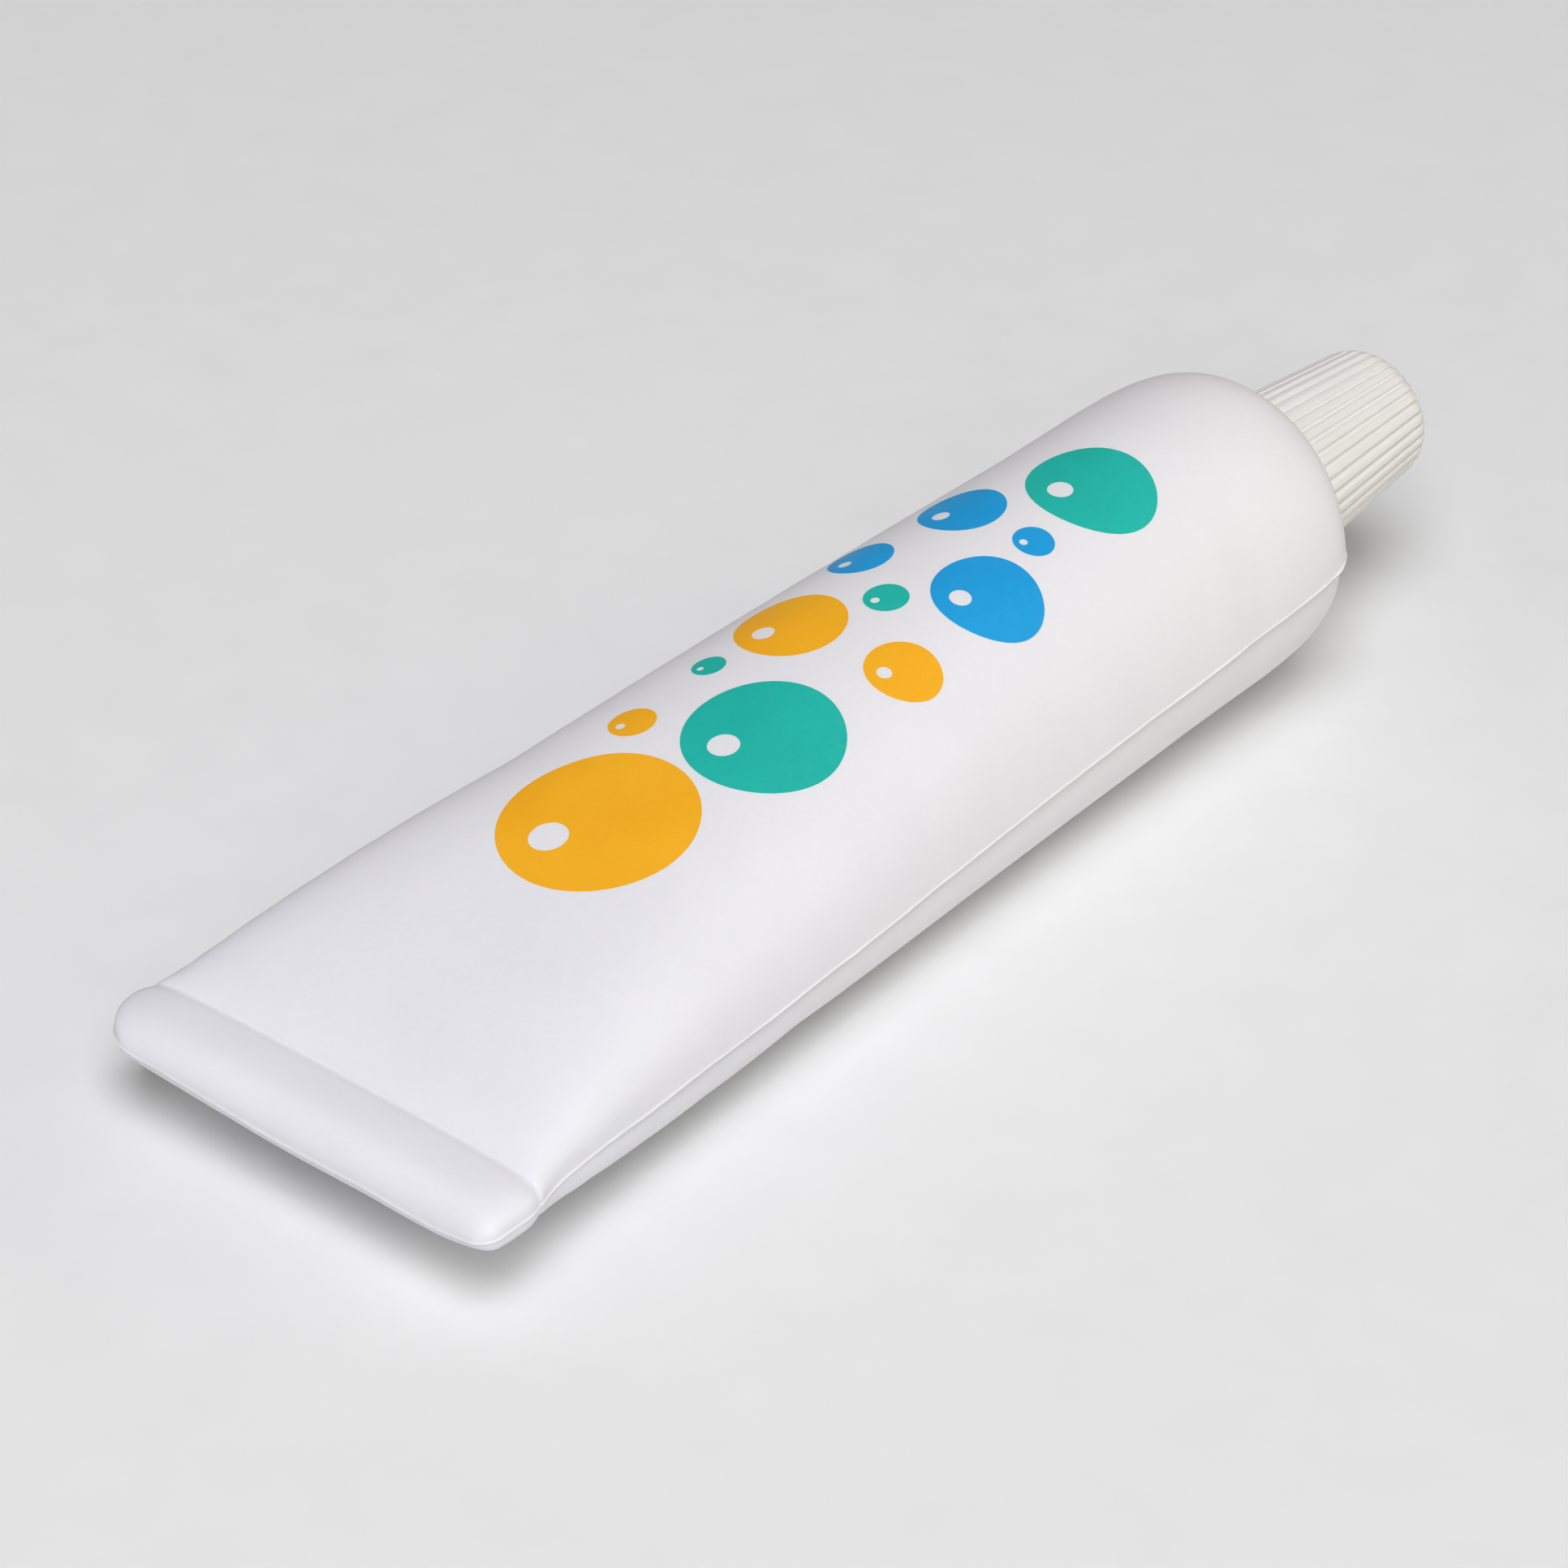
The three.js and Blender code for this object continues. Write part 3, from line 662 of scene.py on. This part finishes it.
def full_ring(section, inset):
    """Evenly spaced points right round a section."""
    line = outline(section, inset, 0, 2 * np.pi)
    return resample(line, np.linspace(0, length_of(line), RING_COLUMNS, endpoint=False))


def sleeve_rings(inset, start):
    """Rings of a surface `inset` below the skin's, from a station to the sleeves' round front."""
    stations = [x for x in skin_stations()[::2] if x >= start]
    rings = [full_ring(body_section(x, inset), inset) for x in stations]
    round_part = ROUND_RADIUS - inset
    return rings + [full_ring((SLEEVE_FRONT, round_part, round_part), inset)]


def barrier_sleeve():
    """Laminate sleeve, with a flat tongue that is welded shut inside the tail band."""
    tongue = []
    for x in np.linspace(TAIL_WALL + GAP, BAND_LENGTH + TONGUE_PAST_BAND, TONGUE_ROWS):
        section = (x, float(half_width(x)) - BARRIER_OUTSIDE, SLOT_HALF_HEIGHT - GAP)
        tongue.append(full_ring(section, 0))
    outside = tongue + sleeve_rings(BARRIER_OUTSIDE, BARRIER_FROM)
    inside = sleeve_rings(BARRIER_INSIDE, BARRIER_FROM)
    return loft("barrier_sleeve_fine", outside + inside[::-1])


def inner_liner():
    """Plastic sleeve inside the laminate, closed at the tail."""
    outside = sleeve_rings(LINER_OUTSIDE, LINER_FROM)
    inside = sleeve_rings(LINER_INSIDE, LINER_INSIDE_FROM)
    return loft("inner_liner_fine", outside + inside[::-1])


def dome_profile(inset, largest, smallest):
    """(radius, x) points of the dome `inset` below the shoulder, with no part folding back."""
    points = []
    for angle in np.linspace(0, math.pi / 2, DOME_ROWS):
        x, radius = shoulder_section(angle, inset)[:2]
        last_radius, last_x = points[-1] if points else (largest, 0)
        if smallest < radius < last_radius and x > last_x:
            points.append((radius, x))
    return points


def cream_fill():
    """The cream: it fills the liner and the head, up to the foil over the nozzle."""
    inset = BARRIER_OUTSIDE + HEAD_WALL + 2 * GAP + INSERT_WALL
    throat = SKIRT_RADIUS - HEAD_WALL - INSERT_WALL - 2 * GAP
    column = NOZZLE_RADIUS - GAP
    dome = dome_profile(inset, throat, column)
    stations = [x for x in skin_stations()[::2] if x >= CREAM_FROM]
    rings = [full_ring(body_section(x, CREAM_OUTSIDE), CREAM_OUTSIDE) for x in stations]
    front = [
        (ROUND_RADIUS - CREAM_OUTSIDE, SKIRT_FROM - 2 * GAP),
        (throat, SKIRT_FROM - GAP), (throat, dome[0][1] - DOME_LEAD),
        *dome,
        (column, SHOULDER_END - inset), (column, NECK_TOP),
    ]
    rings += [full_ring((x, radius, radius), 0) for radius, x in front]
    return loft("cream_fill_fine", rings)


# ------------------------------------------------------------------ head, foil and insert

HEAD_COLUMNS = 144
FOIL_COLUMNS = 216
FOIL_ROWS = 40
THREAD_STEP = 0.1
SAME_RADIUS = 1e-6
FLANGE_STEP = 0.05

# a piece that reaches the axis leaves this radius open, and a fan closes it
AXIS_RADIUS = 0.05

# foil, pressed down on the nozzle's rim
FOIL_RIM_HEIGHT = 0.07
FOIL_RIM_PAST_NOZZLE = 0.5
FOIL_RIM_WIDTH = 0.35
FOIL_SINK = 0.08
FOIL_CREASES = 31
FOIL_CREASE_HEIGHT = 0.025
FOIL_CREASE_FROM = 3.2
FOIL_FADE = 1.2


def neck_relief(radius, x, angle):
    """The thread on the neck."""
    on_neck = np.abs(radius - NECK_RADIUS) < SAME_RADIUS
    height = THREAD_CREST_RADIUS - NECK_RADIUS
    return np.where(on_neck, height * thread_height(x, angle, THREAD_FROM, THREAD_TURNS), 0)


def tube_head():
    """Rigid head: skirt, dome, collar and threaded neck, with the nozzle through it."""
    inside = BARRIER_OUTSIDE + HEAD_WALL
    flange = SLEEVE_FRONT + GAP
    inner = SKIRT_RADIUS - HEAD_WALL
    dome = [p for p in dome_profile(BARRIER_OUTSIDE, math.inf, COLLAR_RADIUS) if p[1] > flange]
    ceiling = dome_profile(inside, inner, CEILING_HOLE_RADIUS)[::-1]
    skirt = [(SKIRT_RADIUS, SKIRT_FROM), (SKIRT_RADIUS, flange), (dome[0][0] + FLANGE_STEP, flange)]
    collar = [(COLLAR_RADIUS, dome[-1][1]), *soft_corner(COLLAR_RADIUS, COLLAR_TOP, COLLAR_EDGE, -1, -1)]
    foot = soft_corner(NECK_RADIUS, COLLAR_TOP, NECK_FOOT)
    rim = soft_corner(NECK_RADIUS, NECK_TOP, RIM_OUTSIDE, -1, -1)
    neck = foot[:-1] + steps_between([foot[-1], rim[0]], THREAD_STEP) + rim[1:]
    bore = [*soft_corner(NOZZLE_RADIUS, NECK_TOP, RIM_INSIDE, 1, -1), (NOZZLE_RADIUS, SHOULDER_END - inside)]
    lining = [*ceiling, (inner, ceiling[-1][1] - DOME_LEAD), (inner, SKIRT_FROM)]
    profile = skirt + dome + collar + neck + bore + lining
    return lathe_ring("tube_head_fine", profile, HEAD_COLUMNS, neck_relief)


def shoulder_insert():
    """Barrier cup that lines the inside of the head, with a hole for the nozzle."""
    inset = BARRIER_OUTSIDE + HEAD_WALL + GAP
    radius = SKIRT_RADIUS - HEAD_WALL - GAP
    hole = INSERT_HOLE_RADIUS
    outer = dome_profile(inset, radius, hole)
    inner = dome_profile(inset + INSERT_WALL, radius - INSERT_WALL, hole)[::-1]
    profile = [
        (radius - INSERT_WALL, SKIRT_FROM), (radius, SKIRT_FROM), (radius, outer[0][1] - DOME_LEAD),
        *outer,
        (hole, SHOULDER_END - inset), (hole, SHOULDER_END - inset - INSERT_WALL),
        *inner,
        (radius - INSERT_WALL, inner[-1][1] - DOME_LEAD),
    ]
    return lathe_ring("shoulder_insert_fine", profile, RING_COLUMNS)


def capped_lathe(name, profile, angles, relief=None, axial=None, sharp_degrees=40):
    """Solid of revolution whose open profile starts and ends close to the axis."""
    rings = revolved(profile, angles, relief)
    if axial is not None:
        radius = np.hypot(rings[..., 1], rings[..., 2])
        rings[..., 0] += axial(radius, np.repeat(np.asarray(angles)[None, :], len(rings), 0))
    return loft(name, rings, sharp_degrees)


def foil_relief(radius, angle):
    """How far the foil stands up over the nozzle's rim, sinks inside it and creases at its edge."""
    rim = FOIL_RIM_HEIGHT * np.exp(-((radius - NOZZLE_RADIUS - FOIL_RIM_PAST_NOZZLE) / FOIL_RIM_WIDTH) ** 2)
    sunk = -FOIL_SINK * smooth((NOZZLE_RADIUS - radius) / FOIL_FADE)
    wave = FOIL_CREASE_HEIGHT * np.sin(FOIL_CREASES * angle + 2 * np.sin(3 * angle))
    return rim + sunk + wave * smooth((radius - FOIL_CREASE_FROM) / FOIL_FADE)


def neck_foil():
    """Sealing foil over the nozzle."""
    low = NECK_TOP + GAP
    high = low + FOIL_THICKNESS
    under = [(r, low) for r in np.linspace(AXIS_RADIUS, FOIL_RADIUS, FOIL_ROWS)]
    over = [(r, high) for r in np.linspace(FOIL_RADIUS, AXIS_RADIUS, FOIL_ROWS)]
    angles = np.linspace(0, 2 * np.pi, FOIL_COLUMNS, endpoint=False)
    return capped_lathe("neck_foil_fine", under + over, angles, axial=foil_relief)


# ------------------------------------------------------------------ cap and wad

CAP_END_ROWS = 6
CAP_CORNER_ROWS = 20
CAP_SIDE_ROWS = 24
CAP_LIP_HEIGHT = 0.35
LAND_CROWN = 0.05
FLUTE_RUN_OUT_POWER = 1.5

# columns of the cap's mesh across and beside each groove, in groove half angles from its middle
FLUTE_COLUMNS = (-1.45, -1, -0.72, -0.42, -0.15, 0.15, 0.42, 0.72, 1, 1.45)

WAD_UNDER_ROWS = 44
WAD_OVER_ROWS = 8
WAD_FLAT_MARGIN = 0.5
WAD_DENT = 0.12
WAD_DENT_WIDTH = 0.8
WAD_DENT_FLATNESS = 1.6


def cap_radius(x):
    """Radius of the cap's tapered outside."""
    return CAP_BASE_RADIUS + (CAP_END_RADIUS - CAP_BASE_RADIUS) * (x - CAP_FROM) / (TUBE_LENGTH - CAP_FROM)


def cap_flat_radius():
    """Radius of the flat middle of the cap's end, inside its rounded corner."""
    return cap_radius(TUBE_LENGTH - CAP_CORNER) - CAP_CORNER


def flute_angles():
    """Column angles that follow the grooves: close together in a groove, wider on the lands."""
    middles = np.pi / 2 + 2 * np.pi * np.arange(FLUTES) / FLUTES
    return (middles[:, None] + np.array(FLUTE_COLUMNS)[None, :] * FLUTE_HALF_ANGLE).ravel()


def cap_outside():
    """Profile of the cap's outside, from the middle of its end to its lip."""
    corner_x = TUBE_LENGTH - CAP_CORNER
    flat = cap_flat_radius()
    end = [(r, TUBE_LENGTH) for r in np.linspace(AXIS_RADIUS, flat, CAP_END_ROWS)]
    corner = []
    for a in np.linspace(math.pi / 2, 0, CAP_CORNER_ROWS)[1:]:
        corner.append((flat + CAP_CORNER * math.cos(a), corner_x + CAP_CORNER * math.sin(a)))
    side_stations = np.linspace(corner_x, CAP_FROM + CAP_LIP_HEIGHT, CAP_SIDE_ROWS)[1:]
    side = [(cap_radius(x), x) for x in side_stations]
    return end + corner + side + soft_corner(cap_radius(CAP_FROM), CAP_FROM, CAP_LIP, -1)


def cap_inside():
    """Profile of the cap's inside: cored skirt, threaded bore, ledge for the wad and end wall."""
    ledge = NECK_TOP + 3 * GAP + FOIL_THICKNESS + WAD_THICKNESS
    core_end = CAP_FROM + CORE_DEPTH
    end_wall = TUBE_LENGTH - CAP_END_WALL
    mouth = soft_corner(CAP_BORE_RADIUS, CAP_FROM, BORE_MOUTH)
    return [
        *soft_corner(cap_radius(CAP_FROM) - CAP_SKIN, CAP_FROM, CORE_MOUTH_OUTSIDE),
        *soft_corner(cap_radius(core_end) - CAP_SKIN, core_end, CORE_END_OUTSIDE, -1, -1),
        *soft_corner(CORE_INNER_RADIUS, core_end, CORE_END_INSIDE, 1, -1),
        *soft_corner(CORE_INNER_RADIUS, CAP_FROM, CORE_MOUTH_INSIDE, -1),
        *mouth[:-1],
        *steps_between([mouth[-1], (CAP_BORE_RADIUS, ledge)], THREAD_STEP),
        *soft_corner(CAP_HOLLOW_RADIUS, ledge, LEDGE_EDGE),
        *soft_corner(CAP_HOLLOW_RADIUS, end_wall, HOLLOW_CORNER, -1, -1),
        (AXIS_RADIUS, end_wall),
    ]


def cap_shell():
    """The cap, with grip grooves that run out round its corner and a thread in its bore."""
    outside = cap_outside()

    def relief(radius, x, angle):
        turn = (angle - np.pi / 2 + np.pi / FLUTES) % (2 * np.pi / FLUTES) - np.pi / FLUTES
        groove = smooth(1 - np.abs(turn) / FLUTE_HALF_ANGLE)
        crown = LAND_CROWN * (1 - (turn * FLUTES / np.pi) ** 2)
        share = np.clip((radius - cap_flat_radius()) / CAP_CORNER, 0, 1) ** FLUTE_RUN_OUT_POWER
        change = (crown - FLUTE_DEPTH * groove) * share
        change[:-len(outside)] = 0
        height = CAP_CREST_RADIUS - CAP_BORE_RADIUS
        thread = height * thread_height(x, angle, THREAD_FROM + PITCH / 2, CAP_THREAD_TURNS)
        return change + np.where(np.abs(radius - CAP_BORE_RADIUS) < SAME_RADIUS, thread, 0)

    profile = (outside + cap_inside())[::-1]
    return capped_lathe("cap_shell_fine", profile, flute_angles(), relief, sharp_degrees=80)


def cap_wad():
    """Foam disc with softened edges and the ring that the nozzle's rim presses into it."""
    low = NECK_TOP + 2 * GAP + FOIL_THICKNESS
    high = low + WAD_THICKNESS
    flat = WAD_RADIUS - WAD_FLAT_MARGIN
    under = [(r, low) for r in np.linspace(AXIS_RADIUS, flat, WAD_UNDER_ROWS)]
    edge = soft_corner(WAD_RADIUS, low, WAD_EDGE, -1) + soft_corner(WAD_RADIUS, high, WAD_EDGE, -1, -1)[::-1]
    over = [(r, high) for r in np.linspace(flat, AXIS_RADIUS, WAD_OVER_ROWS)]
    press = (NECK_RADIUS + NOZZLE_RADIUS) / 2
    angles = np.linspace(0, 2 * np.pi, RING_COLUMNS, endpoint=False)
    rings = revolved(under + edge + over, angles)
    radius = np.hypot(rings[..., 1], rings[..., 2])
    dent = WAD_DENT * smooth(WAD_DENT_FLATNESS - np.abs(radius - press) / WAD_DENT_WIDTH)
    rings[:len(under), :, 0] += dent[:len(under)]
    return loft("cap_wad_fine", rings)


# ------------------------------------------------------------------ materials

# the part of a noise texture's range that carries its pattern
NOISE_LOW = 0.3
NOISE_HIGH = 0.7

MOTTLE = 9
COARSE_GRAIN = 3.5
COARSE_DEPTH = 1.5
SUBSURFACE_RADIUS = (1, 0.9, 0.85)
SUBSURFACE_SCALE = 1.5 * MM
TAIL_TINT = (1.0, 0.99, 1.04)
CAP_TINT = (1.022, 1.0, 1.01)
TINT_FROM = 0.1
TINT_TO = 0.8


def node_material(name):
    """New material, with its node tree and its shader."""
    material = bpy.data.materials.new(name)
    material.use_nodes = True
    tree = material.node_tree
    return material, tree, tree.nodes["Principled BSDF"]


def noise_texture(tree, coordinates, size_mm, detail=3, roughness=0.5):
    """Noise whose lumps are about size_mm across."""
    texture = tree.nodes.new("ShaderNodeTexNoise")
    texture.inputs["Scale"].default_value = 1 / (size_mm * MM)
    texture.inputs["Detail"].default_value = detail
    texture.inputs["Roughness"].default_value = roughness
    tree.links.new(coordinates, texture.inputs["Vector"])
    return texture.outputs["Fac"]


def colour_between(tree, factor, low, high, start=NOISE_LOW, stop=NOISE_HIGH):
    """Colour that goes from low to high as the factor goes from start to stop."""
    ramp = tree.nodes.new("ShaderNodeValToRGB")
    ramp.color_ramp.elements[0].position = start
    ramp.color_ramp.elements[1].position = stop
    ramp.color_ramp.elements[0].color = (*low, 1)
    ramp.color_ramp.elements[1].color = (*high, 1)
    tree.links.new(factor, ramp.inputs["Fac"])
    return ramp.outputs["Color"]


def value_between(tree, factor, low, high):
    """Number that goes from low to high with a noise."""
    span = tree.nodes.new("ShaderNodeMapRange")
    span.inputs["From Min"].default_value = NOISE_LOW
    span.inputs["From Max"].default_value = NOISE_HIGH
    span.inputs["To Min"].default_value = low
    span.inputs["To Max"].default_value = high
    tree.links.new(factor, span.inputs["Value"])
    return span.outputs["Result"]


def bump(tree, height, depth_mm, below=None):
    """Bump of the given depth, on top of another bump if there is one below it."""
    node = tree.nodes.new("ShaderNodeBump")
    node.inputs["Strength"].default_value = 1
    node.inputs["Distance"].default_value = depth_mm * MM
    tree.links.new(height, node.inputs["Height"])
    if below is not None:
        tree.links.new(below, node.inputs["Normal"])
    return node.outputs["Normal"]


def moulded(name, low, high, roughness, grain_mm, grain_depth_mm, metallic=0, subsurface=0):
    """Moulded or printed surface: mottled colour, uneven roughness and two sizes of fine grain."""
    material, tree, shader = node_material(name)
    coordinates = tree.nodes.new("ShaderNodeTexCoord").outputs["Object"]
    mottle = noise_texture(tree, coordinates, MOTTLE, detail=4)
    grain = noise_texture(tree, coordinates, grain_mm, detail=2, roughness=0.6)
    coarse = noise_texture(tree, coordinates, grain_mm * COARSE_GRAIN)
    tree.links.new(colour_between(tree, mottle, low, high), shader.inputs["Base Color"])
    tree.links.new(value_between(tree, coarse, *roughness), shader.inputs["Roughness"])
    soft = bump(tree, coarse, grain_depth_mm * COARSE_DEPTH)
    tree.links.new(bump(tree, grain, grain_depth_mm, below=soft), shader.inputs["Normal"])
    shader.inputs["Metallic"].default_value = metallic
    shader.inputs["Subsurface Weight"].default_value = subsurface
    shader.inputs["Subsurface Radius"].default_value = SUBSURFACE_RADIUS
    shader.inputs["Subsurface Scale"].default_value = SUBSURFACE_SCALE
    return material


def tinted_skin():
    """The skin's white, with a lilac cast at the tail that turns warmer towards the cap."""
    material = moulded(
        "soft_white_skin", (0.79, 0.79, 0.79), (0.81, 0.81, 0.81), (0.5, 0.62), 0.32, 0.02, subsurface=0.08,
    )
    tree = material.node_tree
    shader = tree.nodes["Principled BSDF"]
    coordinates = next(node for node in tree.nodes if node.type == "TEX_COORD")
    split = tree.nodes.new("ShaderNodeSeparateXYZ")
    tree.links.new(coordinates.outputs["Object"], split.inputs["Vector"])
    along = tree.nodes.new("ShaderNodeMapRange")
    along.inputs["From Min"].default_value = cad_box[0].x
    along.inputs["From Max"].default_value = cad_box[1].x
    tree.links.new(split.outputs["X"], along.inputs["Value"])
    tint = colour_between(tree, along.outputs["Result"], TAIL_TINT, CAP_TINT, TINT_FROM, TINT_TO)
    mix = tree.nodes.new("ShaderNodeMix")
    mix.data_type = "RGBA"
    mix.blend_type = "MULTIPLY"
    mix.inputs["Factor"].default_value = 1
    base = shader.inputs["Base Color"].links[0].from_socket
    tree.links.new(base, mix.inputs["A"])
    tree.links.new(tint, mix.inputs["B"])
    tree.links.new(mix.outputs["Result"], shader.inputs["Base Color"])
    return material


# moulded(name, dark colour, light colour, range of roughness, size and depth of grain in millimetres)
SKIN_MATERIAL = tinted_skin()
CAP_MATERIAL = moulded(
    "ivory_cap_plastic", (0.785, 0.765, 0.735), (0.81, 0.79, 0.762), (0.42, 0.55), 0.3, 0.003,
)
BARRIER_MATERIAL = moulded(
    "laminate_aluminium", (0.55, 0.56, 0.57), (0.64, 0.65, 0.66), (0.28, 0.42), 0.6, 0.01, metallic=1,
)
LINER_MATERIAL = moulded("liner_film", (0.83, 0.83, 0.8), (0.88, 0.88, 0.86), (0.35, 0.5), 0.5, 0.01)
HEAD_MATERIAL = moulded(
    "natural_head_plastic", (0.8, 0.79, 0.75), (0.86, 0.85, 0.82), (0.35, 0.48), 0.45, 0.008, subsurface=0.1,
)
INSERT_MATERIAL = moulded(
    "barrier_insert_plastic", (0.68, 0.68, 0.64), (0.74, 0.74, 0.7), (0.25, 0.35), 0.5, 0.008,
)
FOIL_MATERIAL = moulded(
    "seal_foil", (0.6, 0.61, 0.62), (0.7, 0.71, 0.72), (0.22, 0.36), 0.35, 0.015, metallic=1,
)
CREAM_MATERIAL = moulded(
    "shaving_cream", (0.9, 0.9, 0.87), (0.95, 0.95, 0.93), (0.4, 0.6), 0.8, 0.05, subsurface=0.2,
)
WAD_MATERIAL = moulded("wad_foam", (0.8, 0.79, 0.75), (0.88, 0.87, 0.84), (0.75, 0.9), 0.25, 0.05)
INKS = {
    "orange": moulded("orange_ink", (0.93, 0.425, 0.008), (0.96, 0.46, 0.012), (0.4, 0.52), 0.32, 0.016),
    "teal": moulded("teal_ink", (0.009, 0.45, 0.375), (0.012, 0.49, 0.41), (0.4, 0.52), 0.32, 0.016),
    "blue": moulded("blue_ink", (0.008, 0.325, 0.70), (0.011, 0.36, 0.75), (0.4, 0.52), 0.32, 0.016),
}


# ------------------------------------------------------------------ pieces on their bodies

def place(piece, node, body, material):
    """Put a finished piece in the place of a CAD node, on its body."""
    piece.data.materials.append(material)
    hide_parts(node)
    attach(piece, body)


place(half_skin("skin_upper_fine", 1), "skin_upper", "tube", SKIN_MATERIAL)
place(half_skin("skin_lower_fine", -1), "skin_lower", "tube", SKIN_MATERIAL)
place(barrier_sleeve(), "barrier_sleeve", "tube", BARRIER_MATERIAL)
place(inner_liner(), "inner_liner", "tube", LINER_MATERIAL)
place(tube_head(), "tube_head", "tube", HEAD_MATERIAL)
place(shoulder_insert(), "shoulder_insert", "tube", INSERT_MATERIAL)
place(neck_foil(), "neck_foil", "tube", FOIL_MATERIAL)
place(cream_fill(), "cream_fill", "tube", CREAM_MATERIAL)
place(cap_shell(), "cap_shell", "cap", CAP_MATERIAL)
place(cap_wad(), "cap_wad", "wad", WAD_MATERIAL)

# plain bubbles in three inks: (colour, x, y, radius)
BUBBLES = (
    ("orange", 45.2, 0.6, 10.2),
    ("teal", 64.0, -4.4, 8.3),
    ("orange", 79.4, 5.6, 5.9),
    ("orange", 80.6, -8.4, 4.0),
    ("blue", 95.4, -7.0, 5.8),
    ("blue", 93.2, 8.2, 3.5),
    ("blue", 105.4, 4.8, 4.7),
    ("teal", 116.8, -3.2, 6.9),
    ("orange", 58.6, 8.4, 2.5),
    ("teal", 69.8, 8.2, 1.8),
    ("teal", 88.0, 0.2, 2.4),
    ("blue", 105.2, -5.0, 2.2),
)
GLINT_DIRECTION = math.radians(150)
GLINT_DISTANCE = 0.5
GLINT_RADIUS = 0.2

for number, (colour, x, y, radius) in enumerate(BUBBLES, 1):
    glint = (GLINT_DIRECTION, GLINT_DISTANCE * radius, GLINT_RADIUS * radius)
    bubble = ink_bubble(f"ink_bubble_{number}", (x, y), radius, glint, INKS[colour])
    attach(bubble, "tube")


# ------------------------------------------------------------------ floor, light and camera

FLOOR_SIZE = 6
SOFTBOX_SIZE = 1.4
SOFTBOX_DISTANCE = 2.4
WORLD_STRENGTH = 0.11

# (name, azimuth, elevation, watts, colour)
SOFTBOXES = (
    ("key_high", -45, 62, 38.5, (0.97, 0.955, 1)),
    ("key_low", -45, 38, 20, (0.95, 1, 0.98)),
    ("side", 45, 15, 8, (1, 0.9, 0.62)),
    ("back", -135, 38, 3.5, (1, 0.9, 0.8)),
)

CAMERA_AZIMUTH = -48.38
CAMERA_ELEVATION = 31.35
CAMERA_ROLL = 0.32
CAMERA_DISTANCE = 0.6012
CAMERA_LENS = 133.58
CAMERA_SENSOR = 36
CAMERA_CLIP = (0.01, 50)
CAMERA_AIM = (-0.00741, 0.00644, 0.01015)


def floor():
    """Plain pale floor under the tube."""
    half = FLOOR_SIZE / 2
    mesh = bpy.data.meshes.new("floor")
    corners = [(-half, -half, 0), (half, -half, 0), (half, half, 0), (-half, half, 0)]
    mesh.from_pydata(corners, [], [(0, 1, 2, 3)])
    sheet = bpy.data.objects.new("floor", mesh)
    bpy.context.scene.collection.objects.link(sheet)
    material = moulded("pale_floor", (0.84, 0.84, 0.84), (0.86, 0.86, 0.86), (0.7, 0.8), 2, 0.01)
    sheet.data.materials.append(material)


def direction(azimuth, elevation):
    """Unit vector from the object towards a place round it; azimuth 0 is -Y and 90 is +X."""
    a, e = math.radians(azimuth), math.radians(elevation)
    return Vector((math.sin(a) * math.cos(e), -math.cos(a) * math.cos(e), math.sin(e)))


def softbox(name, azimuth, elevation, watts, colour):
    """Square area light that faces the middle of the object."""
    light = bpy.data.lights.new(name, "AREA")
    light.shape = "SQUARE"
    light.size = SOFTBOX_SIZE
    light.energy = watts
    light.color = colour
    back = direction(azimuth, elevation)
    holder = bpy.data.objects.new(name, light)
    holder.location = (cad_box[0] + cad_box[1]) / 2 + back * SOFTBOX_DISTANCE
    holder.rotation_euler = (-back).to_track_quat("-Z", "Y").to_euler()
    bpy.context.scene.collection.objects.link(holder)


def studio_world():
    """Weak even light from all round."""
    world = bpy.data.worlds.new("studio")
    world.use_nodes = True
    background = world.node_tree.nodes["Background"]
    background.inputs["Color"].default_value = (1, 1, 1, 1)
    background.inputs["Strength"].default_value = WORLD_STRENGTH
    bpy.context.scene.world = world


def camera():
    """The camera of the product picture."""
    data = bpy.data.cameras.new("camera")
    data.lens = CAMERA_LENS
    data.sensor_width = CAMERA_SENSOR
    data.clip_start, data.clip_end = CAMERA_CLIP
    back = direction(CAMERA_AZIMUTH, CAMERA_ELEVATION)
    holder = bpy.data.objects.new("camera", data)
    holder.rotation_mode = "QUATERNION"
    level = (-back).to_track_quat("-Z", "Y")
    holder.rotation_quaternion = level @ Quaternion((0, 0, 1), math.radians(CAMERA_ROLL))
    holder.location = Vector(CAMERA_AIM) + back * CAMERA_DISTANCE
    bpy.context.scene.collection.objects.link(holder)
    bpy.context.scene.camera = holder


floor()
for box in SOFTBOXES:
    softbox(*box)
studio_world()
camera()
bpy.context.scene.view_settings.view_transform = "Standard"
